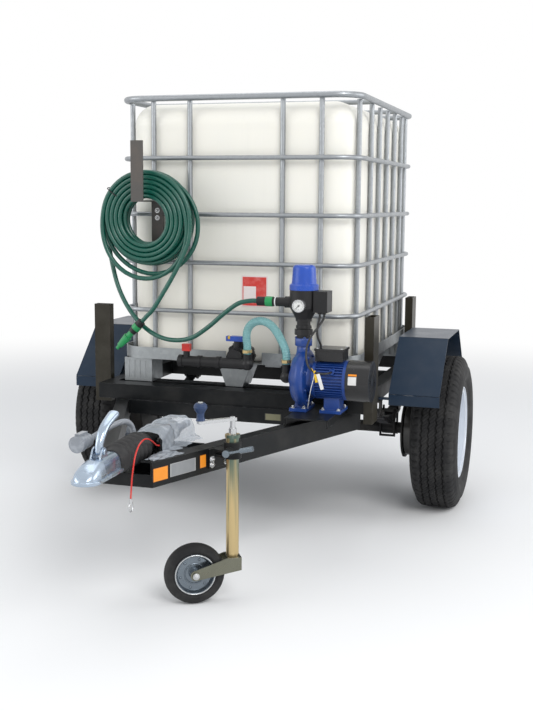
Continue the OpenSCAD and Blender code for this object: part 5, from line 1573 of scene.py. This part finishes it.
@dataclass
class Bellows(Assembly):
    """The gaiter: rounded folds that grow a little towards the housing."""

    front: float = -1094.0
    rear: float = -909.0
    folds: int = 6
    crest: float = 51.0
    dip: float = 42.5
    taper: float = 4.0
    cuff_front: tuple[Pair, ...] = ((31.4, -1116), (34.6, -1116), (35.4, -1112), (35.4, -1100))
    cuff_rear: tuple[Pair, ...] = ((38.8, -903), (39.4, -898), (39.4, -887), (38.2, -883), (35.4, -883))
    anchor_y: float = -883.0
    keep: float = 0.614

    def build(self) -> None:
        """Turn a cosine wave round the shaft, with a cuff at each end."""
        run = np.linspace(0, 1, 121)
        wave = 0.5 - 0.5 * np.cos(2 * np.pi * self.folds * run)
        radius = self.dip + (self.crest - self.dip) * wave ** 0.8 - self.taper * (1 - run)
        body = np.stack([radius, self.front + (self.rear - self.front) * run], -1)
        profile = np.vstack([self.cuff_front, body, self.cuff_rear])
        grid = turned(profile, 72, 1) + np.array([0.0, 0.0, SHAFT_Z])
        shell = weave(place(grid), ring=True)
        gaiter = self.shop.piece("gaiter_folds", shell, Coat.RUBBER, "rubber", sharp=60.0)
        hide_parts("gaiter")
        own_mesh(gaiter)


@dataclass
class HeadSkin(Assembly):
    """The coupling's head: a pressed shell on a flange, two ears for the lever, and the drawn shaft."""

    ball: float = -1277.0
    rear: float = -1117.0
    flange: float = 45.0
    dome_z: float = 506.0
    wall: float = 4.0
    squareness: float = 0.72
    shape_y: tuple[float, ...] = (-1319, -1317, -1311, -1301, -1286, -1262, -1230, -1190, -1150, -1112)
    half: tuple[float, ...] = (6, 14, 24, 32, 37, 39, 38, 36, 34, 32)
    rise: tuple[float, ...] = (2, 6, 13, 22, 32, 42, 49, 51, 50, 49)
    cup: tuple[Point, ...] = (
        (14.0, 0.0, 524), (22.0, 0.0, 518), (25.5, 0.0, 509), (25.5, 0.0, 498), (27.0, 0.0, 496),
        (0.0, 0.96, 496), (0.0, 0.99, 497), (0.0, 1.0, 499), (0.0, 1.0, 504), (0.0, 0.99, 506),
        (0.0, 0.96, 507), (0.0, 0.5, 507),
    )
    ear: tuple[Pair, ...] = ((-1235, 530), (-1161, 530), (-1182, 580), (-1195, 586), (-1208, 580))
    ear_rows: tuple[Pair, ...] = ((12.3, 0.98), (12.9, 1.0), (16.7, 1.0), (17.3, 0.98))
    pivot: Point = (0.0, -1195.0, 572.0)
    pin: tuple[Pair, ...] = ((5.4, 12.0), (6.0, 12.4), (6.0, 17.6), (9.0, 17.7), (9.0, 20.2), (7.8, 21.0))
    drawn: tuple[Pair, ...] = (
        (28.0, -1141), (30.2, -1140), (31.0, -1138), (31.0, -1096), (30.0, -1094), (22.5, -1094),
        (22.5, -662), (21.0, -660),
    )

    def plate(self) -> Shell:
        """The flange and the ball's cup: rings that grow from the cup's top to the rim and turn over it. Each
        row of cup is a fixed radius, a share of the way to the rim, and a height.

        Returns:
            The shell.
        """
        turn = circle(96)
        aim = np.stack([np.sin(turn), -np.cos(turn)], -1)
        side = (self.flange - 1) / np.maximum(np.abs(aim[:, 0]), 1e-6)
        back = (self.rear - self.ball) / np.maximum(aim[:, 1], 1e-6)
        reach = np.where(aim[:, 1] > 0, np.minimum(side, back), self.flange)
        return closed(place(np.stack([
            np.insert((flat + share * reach)[:, None] * aim + [0.0, self.ball], 2, z, axis=1)
            for flat, share, z in self.cup
        ])))

    def dome(self) -> Shell:
        """The pressed shell: half ovals along the head, out over the top and back inside by the wall.

        Returns:
            The shell.
        """
        y = np.linspace(0, 1, 90) ** 1.6 * (self.shape_y[-1] - self.shape_y[0]) + self.shape_y[0]
        half, rise = (smooth(np.interp(y, self.shape_y, v))[:, None] for v in (self.half, self.rise))
        over = np.linspace(0, np.pi, 49)[None, :]
        across, up = soft(np.cos(over), self.squareness), soft(np.sin(over), self.squareness)
        thin_half, thin_rise = (np.maximum(v - self.wall, 0.4 * v) for v in (half, rise))
        x = np.concatenate([half * across, (thin_half * across)[:, ::-1]], 1)
        z = self.dome_z + np.concatenate([rise * up, (thin_rise * up)[:, ::-1]], 1)
        return closed(place(points(x, y[:, None], z)))

    def ears(self) -> Shell:
        """Two upright cheeks with soft edges, and the pivot's two ends.

        Returns:
            The shell.
        """
        outline = np.array(self.ear)
        middle = outline.mean(0)
        cheeks = []
        for side in (-1, 1):
            grid = np.stack([
                np.insert(middle + (outline - middle) * share, 0, side * x, axis=1)
                for x, share in self.ear_rows
            ])
            end = turned(np.array(self.pin), 24, 0) * [side, 1, 1] + self.pivot
            cheeks += [closed(place(grid)), closed(place(end))]
        return joined(cheeks)

    def shaft(self) -> Shell:
        """The collar and the drawn shaft, turned round their axis."""
        return closed(place(turned(np.array(self.drawn), 64, 1) + np.array([0.0, 0.0, SHAFT_Z])))

    def build(self) -> None:
        """Join the shells into one piece on the sliding coupling."""
        shell = self.plate() + self.dome() + self.ears() + self.shaft()
        head = self.shop.piece("head_skin", shell, Coat.BLUE_ZINC, "coupling_zinc", "coupling", sharp=40.0)
        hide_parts("coupling_head")


@dataclass
class NosePlates(Assembly):
    """The two plates that close the drawbar's nose beside the gaiter, and the film on the right one."""

    span: Pair = (-1018.0, -882.0)
    inner: float = 54.0
    top: float = 505.8
    thick: float = 5.0
    edge: float = 0.6
    arm_x: float = 93.3
    arm_slope: float = 0.40171
    film_inner: float = 58.0
    film_span: Pair = (-1010.0, -876.0)
    film_long: float = 0.135

    def side(self, y: Any) -> Any:
        """The inner face of the drawbar's side plate at a distance along the trailer."""
        return self.arm_x + self.arm_slope * (np.asarray(y, float) - NOSE_Y)

    def build(self) -> None:
        """Make the plates, then the film."""
        self.plates()
        self.film()

    def plates(self) -> None:
        """Raise each plate from its four corners, drawn in a little at its faces."""
        y0, y1 = self.span
        corners = np.array([[self.inner, y0], [self.side(y0), y0], [self.side(y1), y1], [self.inner, y1]])
        middle, low = corners.mean(0), self.top - self.thick
        rows = ((0.99, 0.0), (1.0, self.edge), (1.0, self.thick - self.edge), (0.99, self.thick))
        shell = joined(
            closed(place(np.stack([
                np.insert((middle + (corners - middle) * share) * [side, 1], 2, low + up, axis=1)
                for share, up in rows
            ])))
            for side in (-1, 1)
        )
        self.shop.piece("nose_plates", shell, Coat.FRAME, "frame_paint")

    def film(self) -> None:
        """Lay a sheet over the right plate, rippled by sines and flat along its sides."""
        y0, y1 = self.film_span
        along = np.linspace(0, 1, 60)[:, None]
        out = np.linspace(0, 1, 40)[None, :]
        y = y0 + (y1 - y0) * along
        far = self.side(y) - 3 - 5 * np.sin(11 * along) ** 2
        x = self.film_inner + (far - self.film_inner) * out + 2 * np.sin(9 * along + 4 * out)
        ripple = 1 + np.sin(17 * along + 7 * out + 2 * np.sin(9 * out))
        z = self.top + 0.6 + 2.4 * ripple * np.sin(np.pi * out) ** 0.5
        sheet = weave(place(points(x, y + 2 * np.sin(12 * out), z)))
        film = self.shop.piece("nose_film", sheet, Coat.FILM, "film", sharp=70.0)
        flat = (sheet.area() / self.film_long, self.film_long)


@dataclass
class HandleSkin(Assembly):
    """The coupling's lever: a smooth oval bar that flares a little towards its rounded end."""

    route: tuple[Point, ...] = (
        (0, -1197, 562), (0, -1195, 572), (0, -1185, 604), (0, -1153, 638), (0, -1091, 664), (0, -1081, 667),
    )
    widths: tuple[Pair, ...] = ((0, 11.6), (0.2, 11.6), (0.36, 14.0), (0.6, 14.6), (0.9, 17.4), (1.0, 17.0))
    depths: tuple[Pair, ...] = ((0, 12.6), (0.22, 12.0), (0.6, 10.6), (1.0, 10.8))
    end_round: float = 11.0
    sides: int = 36
    squareness: float = 0.8

    def build(self) -> None:
        """Carry an oval along the lever, its two half widths set by the share of the way along and drawn in
        to a quarter circle at each end.
        """
        path = even(spline(np.array(self.route, float), 14), 2.0)
        edge = lengths(path)
        run = edge / edge[-1]
        wide, deep = (np.interp(run, *np.array(table).T) for table in (self.widths, self.depths))
        blunt = np.minimum(edge + 2.0, edge[-1] - edge + 0.6)
        close = np.sqrt(np.clip(1 - (1 - np.clip(blunt / self.end_round, 0, 1)) ** 2, 0.02, 1))
        ahead = unit(np.gradient(path, axis=0))
        side = np.broadcast_to(np.array([1.0, 0.0, 0.0]), path.shape)
        rise = np.cross(ahead, side)
        turn = circle(self.sides)
        across, up = (soft(v, self.squareness)[None, :, None] for v in (np.cos(turn), np.sin(turn)))
        grid = (
            path[:, None]
            + (wide * close)[:, None, None] * across * side[:, None]
            + (deep * close)[:, None, None] * up * rise[:, None]
        )
        lever = self.shop.piece(
            "handle_skin", closed(place(grid)), Coat.BLUE_ZINC, "coupling_zinc", "coupling_lock", sharp=60.0
        )
        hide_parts("coupling_handle")


@dataclass
class FilmWrap(Assembly):
    """The clear film round the handbrake: an arched sheet with creases that run out from its ties."""

    rows: int = 90
    cols: int = 96
    hem_cols: int = 14
    hem: float = 46.0
    front: float = -883.0
    long: float = 283.0
    middle_x: float = 15.0
    half: float = 56.5
    bed: float = 507.4
    ridge: tuple[Pair, ...] = (
        (-883, 568), (-850, 574), (-780, 577), (-700, 578), (-640, 579), (-615, 574), (-600, 562),
    )
    squareness: float = 0.55
    ties: tuple[Pair, ...] = ((0.42, 0.10), (0.8, 0.06))
    tie_reach: float = 0.05
    creases: tuple[tuple[float, ...], ...] = (
        (2.6, 7, 13, 2.5, 5, 2), (1.4, 11, -19, 1.7, 9, 0), (0.7, 5, 23, 0, 0, 0),
    )
    flat_long: float = 0.31
    bend: tuple[Point, Point] = ((50, -830, 530), (50, -720, 545))

    def build(self) -> None:
        """Arch a sheet over the lever: a soft square section that follows the lever's rise, pinched at its
        ties and creased by three sines, whose right edge runs out flat over the drawbar. Each row of creases
        is a depth, the waves round and along, and a sway of the waves with its own waves along and round.
        """
        run = np.linspace(0, 1, self.rows)[:, None]
        turn = np.linspace(0, np.pi, self.cols)[None, :]
        y = self.front + self.long * run
        top = np.interp(y, *np.array(self.ridge).T)
        pinch = 1 - sum(deep * np.exp(-(((run - at) / self.tie_reach) ** 2)) for at, deep in self.ties)
        crease = sum(
            deep * np.sin(a * turn + b * run + sway * np.sin(c * run + d * turn))
            for deep, a, b, sway, c, d in self.creases
        )
        inward = 1 - np.clip(crease + 4.2, 0, None) / 120
        across, up = soft(np.cos(turn), self.squareness), soft(np.sin(turn), self.squareness)
        x = self.middle_x + self.half * across * pinch * inward
        z = self.bed + (top - self.bed) * up * (0.5 + 0.5 * pinch) * inward
        arch = np.stack([x, np.broadcast_to(y, x.shape) + 1.5 * np.sin(8 * turn), z], -1)
        out = np.linspace(1, 0, self.hem_cols, endpoint=False)[None, :]
        wide = self.hem * np.clip(5 * run + 0.15, 0, 1) * np.clip(6 * (1 - run), 0, 1)
        wide = wide * (1 + 0.16 * np.sin(19 * run) + 0.1 * np.sin(43 * run + 1))
        lift = 1.6 * out * (1 + np.sin(23 * run + 3 * out)) * (0.4 + np.sin(9 * run) ** 2)
        hem = points(x[:, :1] + wide * out, arch[:, :1, 1], self.bed + lift)
        shell = weave(place(np.concatenate([hem, arch], 1)))
        film = self.shop.piece("lever_film", shell, Coat.FILM, "film", body="", sharp=70.0)
        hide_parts("lever_wrap")
        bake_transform(film)
        flat = (shell.area() / self.flat_long, self.flat_long)


# Pump


@dataclass
class VoluteSkin(Assembly):
    """The pump's casting: a volute turned round the shaft, a neck that flows out of it, its flange, ribs and
    foot.
    """

    neck_top: float = 777.0
    neck_half: Pair = (24.0, 24.4)
    neck_flare: Pair = (1.5, 33.6)
    flange: tuple[Pair, ...] = (
        (30.0, 775.0), (32.2, 775.6), (33.0, 777.0), (33.0, 802.4), (32.2, 803.6), (30.0, 804.0),
    )
    wall_overlap: float = 3.0
    plate_x: float = 342.0
    plate_half: Pair = (34.0, 62.0)
    pedestal_x: tuple[float, ...] = (326.0, 328.0, 364.0, 366.0, 366.0, 364.0, 328.0, 326.0)
    pedestal_y: tuple[float, ...] = (-0.95, -1.0, -1.0, -0.95, 0.95, 1.0, 1.0, 0.95)
    pedestal_z: float = 549.0
    pedestal_half: Pair = (42.0, 6.0)
    foot_low: float = 536.3
    foot_high: float = 550.0
    outside: tuple[Pair, ...] = (
        (15, 297.6), (16, 297), (29.6, 297), (31, 298.4), (31, 308), (33, 311), (38, 312.4), (76, 314),
        (82, 315.4), (87, 319), (98, 333), (102, 337), (105, 341), (106.8, 346), (106.8, 362), (105.4, 366),
        (102, 369), (97, 370), (66, 371), (60, 372.4), (59, 375), (59, 391.7), (9, 391.7),
    )
    inside: tuple[Pair, ...] = (
        (8.5, 391), (8.5, 366.6), (9, 366), (92, 366), (94, 364), (94, 346), (88, 338), (80.5, 321),
        (79, 319), (76, 318), (16, 318), (15, 317),
    )
    rib: tuple[tuple[float, float, float, float], ...] = (
        (549, 26, 331, 345), (566, 25, 323, 330), (585, 24, 314, 317), (610, 22, 309, 316),
        (700, 17, 309, 316), (726, 15, 314, 317), (746, 13.5, 322, 332), (770, 12, 330, 345),
    )
    rib_crest: float = 1.2
    rib_y: tuple[float, ...] = (-3.0, 0.0, 3.0, 4.5, -4.5)

    def wall(self, x: np.ndarray, off: np.ndarray) -> np.ndarray:
        """The height over the shaft at which the volute's wall stands, at a place along and across it."""
        radius, along = np.array(self.outside[5:-4]).T
        return np.sqrt((np.interp(x, along, radius) - self.wall_overlap) ** 2 - off ** 2)

    def body(self) -> Shell:
        """The volute with its suction boss and the round seat for the motor."""
        grid = turned(np.array(self.outside + self.inside), 96, 0) + np.array([0.0, PUMP_Y, PUMP_Z])
        return weave(place(grid), ring=True, loop=True)

    def outlet(self) -> Shell:
        """The neck as ovals that grow into the volute, and the eight-sided flange on it.

        Returns:
            The shell.
        """
        turn = circle(64)[None, :]
        share = np.linspace(0, 1, 14)[:, None]
        x = RISER_X + (self.neck_half[0] + self.neck_flare[0] * (1 - share) ** 1.5) * np.cos(turn)
        off = (self.neck_half[1] + self.neck_flare[1] * (1 - share) ** 2.2) * np.sin(turn)
        low = PUMP_Z + self.wall(x[0], off[0])
        ovals = np.stack([x, PUMP_Y + off, low + (self.neck_top - low) * share], -1)
        flange = turned(np.array(self.flange), 8, 2) + np.array([RISER_X, PUMP_Y, 0.0])
        return closed(place(ovals)) + closed(place(flange))

    def ribs(self) -> Shell:
        """Two ribs that follow the volute's front from the foot to the neck: five-sided sections, each row of
        rib being a height, an offset from the shaft, and the rib's face and back.

        Returns:
            The shell.
        """
        z, off, face, back = (column[:, None] for column in np.array(self.rib, float).T)
        x = np.concatenate([face, face - self.rib_crest, face, back, back], 1)
        y = np.array([self.rib_y])
        return joined(closed(place(points(x, PUMP_Y + side * off + y, z))) for side in (-1, 1))

    def foot(self) -> Shell:
        """The foot's plate, and the pedestal that narrows upwards from it.

        Returns:
            The shell.
        """
        plate = slab((*self.plate_half, (self.foot_high - self.foot_low) / 2), power=0.1)
        plate = plate.moved(np.eye(3), np.array([self.plate_x, PUMP_Y, (self.foot_low + self.foot_high) / 2]))
        x = np.array([self.pedestal_x])
        share = np.array([[0.0], [0.15], [0.5], [1.0]])
        wide, taper = self.pedestal_half
        off = (wide - taper * share) * np.array([self.pedestal_y])
        high = PUMP_Z - self.wall(x[0], off[-1])
        z = self.pedestal_z + (high - self.pedestal_z) * share
        return plate.placed() + closed(place(points(x, PUMP_Y + off, z)))

    def build(self) -> None:
        """Join the shells into one piece on the trailer."""
        shell = self.body() + self.outlet() + self.ribs() + self.foot()
        made = self.shop.piece("volute_skin", shell, Coat.PUMP, "pump_paint")
        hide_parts("pump_casing")


# Fittings and labels


@dataclass
class Fasteners(Assembly):
    """Bolt heads, nuts, welds and ties that the solids leave out."""

    front_x: Pair = (191.0, 345.0)
    front_y: Pair = (18.0, 1182.0)
    side_x: float = 482.0
    side_y: tuple[float, ...] = (110.0, 335.0, 500.0, 665.0, 830.0, 995.0, 1090.0)
    jockey_hub: Point = (161.363, -843.78, 100.0)
    jockey_axle: Point = (0.517954, -0.855409, 0.0)
    jockey_clamp: Point = (270.0, -778.0, 0.0)
    clamp_reach: float = 59.1
    clamp_bolts: tuple[Pair, Pair] = ((-34.0, 34.0), (452.0, 470.0))
    hanger_bolts: Pair = (-6.4, 14.5)
    rivet_r: float = 48.0
    disc_z: float = 8.0
    bead_r: float = 33.0
    lip: Pair = (65.4, 22.4)
    nut_z: float = 40.3
    cable: tuple[Point, ...] = ((400.0, -325.0, 716.0), (424.0, -334.0, 700.0), (448.0, -328.0, 694.0))
    rim_bolts: Pair = (370.0, 86.0)
    flange_r: float = 27.0
    motor_foot_z: float = 548.0
    box_lid_z: float = 772.5

    def build(self) -> None:
        """Make each group."""
        self.cage_welds()
        self.pump_bolts()
        self.frame_bolts()
        self.jockey_trim()
        self.ties()

    def cage_welds(self) -> None:
        """A flattened nugget at each crossing of hoop and upright."""
        nugget = slab((7.0, 2.4, 8.0), power=0.8, rows=8, cols=12)
        ahead, aside = np.eye(3), np.array([[0.0, -1.0, 0.0], [1.0, 0.0, 0.0], [0.0, 0.0, 1.0]])
        welds = []
        for z in HOOP_Z:
            welds += [((s * x, y, z), ahead) for x in self.front_x for s in (-1, 1) for y in self.front_y]
            welds += [((s * self.side_x, y, z), aside) for y in self.side_y for s in (-1, 1)]
        spots, turns = (np.array(values) for values in zip(*welds))
        self.shop.piece("cage_weld_spots", nugget.repeated(turns, spots).placed(), Coat.CAGE, "zinc")

    def bolts(
        self, name: str, coat: Coat, slot: str, spots: Sequence[tuple], body: str = "trailer"
    ) -> None:
        """One piece of many bolt heads.

        Args:
            name: the piece's name.
            coat: its finish.
            slot: the record's slot.
            spots: (place, direction, head radius, head height) of each, in the source's millimetres.
            body: the body that they ride on.
        """
        made = joined(
            hex_bolt(radius, height).moved(facing(way), np.array(at, float))
            for at, way, radius, height in spots
        )
        self.shop.piece(name, made.placed(), coat, slot, body, sharp=25.0)

    def pump_bolts(self) -> None:
        """Bolts round the volute's rim, on the feet, the terminal box and the discharge flange."""
        up, ahead = (0, 0, 1), (1, 0, 0)
        x, r = self.rim_bolts
        rim = [((x, PUMP_Y + r * math.cos(a), PUMP_Z + r * math.sin(a)), ahead, 6.0, 6.5)
               for a in circle(8, 0.5)]
        r, top = self.flange_r, VoluteSkin.flange[-1][1]
        flange = [((RISER_X + r * math.cos(a), PUMP_Y + r * math.sin(a), top), up, 4.5, 5.0)
                  for a in circle(4, 0.25)]

        def four(columns: Pair, off: float, z: float, radius: float, height: float) -> list[tuple]:
            """Bolts at four corners about the pump's axis."""
            return [((x, PUMP_Y + s * off, z), up, radius, height) for x in columns for s in (-1, 1)]

        feet = four((322, 364), 52, VoluteSkin.foot_high, 7.0, 7.0)
        feet += four((434, 492), 48, self.motor_foot_z, 6.0, 6.0)
        lid = four((408, 499), 40, self.box_lid_z, 3.6, 2.6)
        self.bolts("volute_bolts", Coat.PUMP, "pump_paint", rim + flange)
        self.bolts("pump_bolts", Coat.BRIGHT, "zinc", feet)
        self.bolts("terminal_box_screws", Coat.BRIGHT, "zinc", lid)

    def frame_bolts(self) -> None:
        """Bolts on the jockey clamp's plate and the hanger."""
        out = np.array([math.cos(ARM_TURN), -math.sin(ARM_TURN), 0.0])
        along = np.array([math.sin(ARM_TURN), math.cos(ARM_TURN), 0.0])
        foot = np.array(self.jockey_clamp) - out * self.clamp_reach
        plate = [(tuple(foot + along * s + np.array([0, 0, z])), tuple(out), 7.5, 8.0)
                 for s in self.clamp_bolts[0] for z in self.clamp_bolts[1]]
        y, off = self.hanger_bolts
        hanger = [((GardenHose.hook_x, y, HOOP_Z[1] + s * off), (0, -1, 0), 7.0, 7.0) for s in (-1, 1)]
        self.bolts("frame_bolts", Coat.BRIGHT, "zinc", plate + hanger)

    def jockey_trim(self) -> None:
        """Rivets and a pressed ring on both faces of the small wheel, its rim's lip, and the axle's nuts."""
        hub, axle = np.array(self.jockey_hub), np.array(self.jockey_axle)
        dome = np.array([[4.6, -0.4], [4.6, 0.5], [4.0, 1.7], [2.6, 2.6], [1.0, 2.9]])
        angles = np.radians(np.arange(6) * 60 + 12)
        spots = np.stack(
            [self.rivet_r * np.cos(angles), self.rivet_r * np.sin(angles), np.full(6, self.disc_z)], -1
        )
        face = closed(turned(dome, 14, 2)).repeated(np.broadcast_to(np.eye(3), (6, 3, 3)), spots)
        turn = circle(12)
        bead = np.stack([self.bead_r + 2.6 * np.cos(turn), self.disc_z + 2.0 * np.sin(turn)], -1)
        lip = np.array(self.lip) + 2.2 * np.stack([np.cos(turn), np.sin(turn)], -1)
        face = face + weave(turned(bead, 64, 2), ring=True, loop=True)
        edge = weave(turned(lip, 72, 2), ring=True, loop=True)
        for name, shell, coat in (("jockey_rivets", face, Coat.DARK_ZINC), ("jockey_lip", edge, Coat.BRIGHT)):
            both = shell.moved(facing(axle), hub) + shell.moved(facing(-axle), hub)
            self.shop.piece(name, both.placed(), coat, "zinc", "jockey_wheel", sharp=50.0)
        nuts = [(tuple(hub + s * self.nut_z * axle), tuple(s * axle), 7.6, 6.4) for s in (-1, 1)]
        self.bolts("jockey_nuts", Coat.BRIGHT, "zinc", nuts, body="fork")

    def ties(self) -> None:
        """A tie round the motor's cable, two blank tags, and the yellow inserts of the valve's lever."""
        before, at, after = (np.array(point) for point in self.cable)
        band = np.array([[4.1, -2.4], [5.5, -2.4], [5.5, 2.4], [4.1, 2.4], [4.1, -2.4]])
        ring = weave(turned(band, 24, 2), ring=True).moved(facing(after - before), at)
        tail = np.array([[424.0, -339.5, 700.0], [421.0, -345.0, 707.0], [416.0, -347.0, 716.0]])
        ring = ring + closed(tube(tail, 1.2, 8, (1, 0, 0)))
        self.shop.piece("cable_tie", ring.placed(), Coat.YELLOW, "clamp_tan")
        for name, coat, slot, half, lean, middle in (
            ("cable_tag_short", Coat.YELLOW, "clamp_tan", (5.0, 0.6, 15.0), -0.18, (431.0, -341.5, 679.0)),
            ("cable_tag_long", Coat.WHITE, "white_plastic", (6.5, 0.6, 29.0), -0.30, (447.0, -343.5, 668.0)),
        ):
            turn = np.array(Matrix.Rotation(lean, 3, "Y"))
            tag = slab(half, rows=10, cols=24).moved(turn, np.array(middle))
            self.shop.piece(name, tag.placed(), coat, slot)
        insert = slab((4.7, 13.2, 5.6), rows=10, cols=24)
        inserts = joined(insert.moved(np.eye(3), np.array([x, -68.0, 774.8])) for x in (11.0, 79.0))
        self.shop.piece("lever_inserts", inserts.placed(), Coat.YELLOW, "clamp_tan", "valve_lever")


@dataclass
class Labels(Assembly):
    """Blank cards and labels: thin slabs on the faces that carry them."""

    arm_face_x: float = 100.0
    fan_r: float = 75.8
    gap: float = 0.05

    def plate(
        self, name: str, coat: Coat, slot: str, middle: Sequence[float], across: Sequence[float],
        up: Sequence[float], thick: float,
    ) -> None:
        """One blank plate, whose face falls to its edges by a high power of the distance from its middle.

        Args:
            name: the piece's name.
            coat: its finish.
            slot: the record's slot.
            middle: the middle of its back, in the source's millimetres.
            across: half of its width as a vector.
            up: half of its height as a vector.
            thick: its thickness.
        """
        u, v = np.linspace(-1, 1, 22)[:, None, None], np.linspace(-1, 1, 22)[None, :, None]
        a, b = np.asarray(across, float), np.asarray(up, float)
        out = unit(np.cross(a, b))
        lift = thick * np.clip(1 - np.maximum(np.abs(u), np.abs(v)) ** 24, 0, 1)
        front = np.asarray(middle, float) + u * a + v * b + out * (lift + self.gap)
        self.shop.piece(name, weave(np.transpose(front, (1, 0, 2))).placed(), coat, slot)

    def build(self) -> None:
        """The red card on the tank, blank labels on the drawbar's side and the fan, and the beam's plate."""
        at, wide, high = (76, 38.4, 948), (54, 0, 0), (0, 0, 62)
        self.plate("tank_card", Coat.CARD, "red_plastic", at, wide, high, 1.0)
        along = np.array([math.sin(ARM_TURN), math.cos(ARM_TURN), 0.0])
        for name, coat, slot, y, z, half in (
            ("housing_label_front", Coat.ORANGE, "clamp_tan", -995.0, 464.0, 32.0),
            ("housing_label_middle", Coat.GREY_LABEL, "white_plastic", -902.0, 466.0, 58.0),
            ("housing_label_rear", Coat.ORANGE, "clamp_tan", -816.0, 468.0, 14.0),
        ):
            x = self.arm_face_x + math.tan(ARM_TURN) * (y - NOSE_Y)
            self.plate(name, coat, slot, (x, y, z), along * half, (0, 0, 21), 0.6)
        at, wide, high = (196, -90.0, 474), (33, 0, 0), (0, 0, 13)
        self.plate("beam_plate", Coat.PLATE, "clamp_tan", at, wide, high, 0.8)
        self.band("fan_label", Coat.PALE_LABEL, "white_plastic", (531.0, 563.0), (-4.0, 20.0))
        self.band("fan_stripe", Coat.ORANGE, "clamp_tan", (531.0, 563.0), (21.5, 27.0))

    def band(self, name: str, coat: Coat, slot: str, span: Pair, rise: Pair) -> None:
        """A thin label bent round the fan cover.

        Args:
            name: the piece's name.
            coat: its finish.
            slot: the record's slot.
            span: where it starts and ends along the motor, in the source's millimetres.
            rise: its lower and upper angle above the motor's middle, in degrees.
        """
        x = np.linspace(*span, 12)[:, None]
        turn = np.radians(np.linspace(*rise, 16))[None, :]
        y, z = PUMP_Y - self.fan_r * np.cos(turn), PUMP_Z + self.fan_r * np.sin(turn)
        grid = points(x, y, z)
        self.shop.piece(name, weave(np.transpose(grid, (1, 0, 2))).placed(), coat, slot)


@dataclass
class GaugeFace(Assembly):
    """The dial with its marks and the glass over it."""

    middle: Point = (345.0, -273.5, 928.0)
    radius: float = 19.6
    glass_r: float = 19.9
    glass_y: float = -5.3
    glass_rise: float = 1.6

    def build(self) -> None:
        """A flat disc with a turn and radius map, and a slightly domed glass in front of the needle."""
        share = np.linspace(0.02, 1.0, 20)
        disc = turned(np.stack([self.radius * share, np.zeros(20)], -1), 96, 1)
        face = weave(disc + np.array(self.middle) - [0, 0.3, 0], ring=True, cap_first=True, along=share)
        self.shop.piece("gauge_dial", face.placed(), Coat.FACE, "white_plastic")
        bulge = self.glass_y - self.glass_rise * (1 - share**2)
        dome = turned(np.stack([self.glass_r * share, bulge], -1), 64, 1)
        glass = weave(dome + np.array(self.middle), ring=True, cap_first=True)
        self.shop.piece("gauge_glass", glass.placed(), Coat.GLASS, "white_plastic")


# Dressing of the solids


@dataclass
class Wardrobe:
    """Which finish each solid takes."""

    rack: dict[Coat, tuple[str, ...]] = field(default_factory=lambda: {
        Coat.FRAME: ("chassis_frame", "drawbar_arms", "pump_shelf", "overrun_housing", "jockey_clamp"),
        Coat.POST: ("corner_posts",),
        Coat.GUARD: ("mudguards",),
        Coat.UNDER: ("spring_hangers", "axle_beam"),
        Coat.SPRING: ("leaf_springs",),
        Coat.RIM: ("rim_left", "rim_right"),
        Coat.CAGE: ("cage_hoops", "cage_uprights"),
        Coat.TRAY: ("pallet_tray", "pallet_feet"),
        Coat.TANK: ("tank_bottle",),
        Coat.TYRE: ("tyre_left", "tyre_right", "jockey_tyre"),
        Coat.BLACK: ("filler_cap", "outlet_valve", "outlet_pipe", "riser_union",
                     "controller_body", "hose_connectors"),
        Coat.BAGGED: ("wiring_plug",),
        Coat.GLOSS_BLACK: ("handbrake_lever", "terminal_box", "fan_cover"),
        Coat.BLUE: ("valve_handle", "controller_dome"),
        Coat.NAVY: ("jockey_grip",),
        Coat.RED: ("tap_handle", "breakaway_cable"),
        Coat.CLEAR: ("suction_hose",),
        Coat.BAND: ("hose_clamps",),
        Coat.PUMP: ("pump_casing", "motor_body"),
        Coat.BRIGHT: ("pump_rotor", "jockey_crank", "breakaway_clip", "gauge_case"),
        Coat.OLIVE_ZINC: ("jockey_fork",),
        Coat.DARK_ZINC: ("jockey_rim", "clamp_lever"),
        Coat.RUBBER: ("gaiter", "wiring_lead", "gauge_needle"),
        Coat.CABLE: ("pump_cables",),
        Coat.HANGER: ("hose_hanger",),
        Coat.HOSE: ("hose_coil", "hose_lead", "hose_tail"),
        Coat.GREEN: ("spray_nozzle",),
        Coat.YELLOW_ZINC: ("jockey_tube", "jockey_leg"),
        Coat.BLUE_ZINC: ("coupling_head", "coupling_handle"),
        Coat.FILM: ("lever_wrap",),
    })

    def dress(self, frame: dict[str, Any], paints: Paintbox) -> None:
        """Give every solid its finish.

        Args:
            frame: the loaded frame.
            paints: hands out the materials.
        """
        for coat, names in self.rack.items():
            for name in names:
                solid = frame["nodes"][name]
                solid.data.materials.clear()
                solid.data.materials.append(paints.get(coat))


def main() -> None:
    """Build the stage and every piece in order."""
    logging.basicConfig(level=logging.INFO, format="%(message)s")
    for old in list(bpy.data.objects):
        bpy.data.objects.remove(old)
    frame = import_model()
    Studio().build()
    paints = Paintbox()
    Wardrobe().dress(frame, paints)
    shop = Workshop(paints)
    GardenHose(shop).build(frame)
    for cord in CORDS:
        cord.build(shop, frame)
    for maker in (
        RoadTyre(shop, -1), RoadTyre(shop, 1), TankSkin(shop), LeafSprings(shop), Bellows(shop),
        HeadSkin(shop), NosePlates(shop), VoluteSkin(shop), HandleSkin(shop), FilmWrap(shop),
        Fasteners(shop), Labels(shop), GaugeFace(shop),
    ):
        maker.build()


if __name__ == "__main__":
    main()
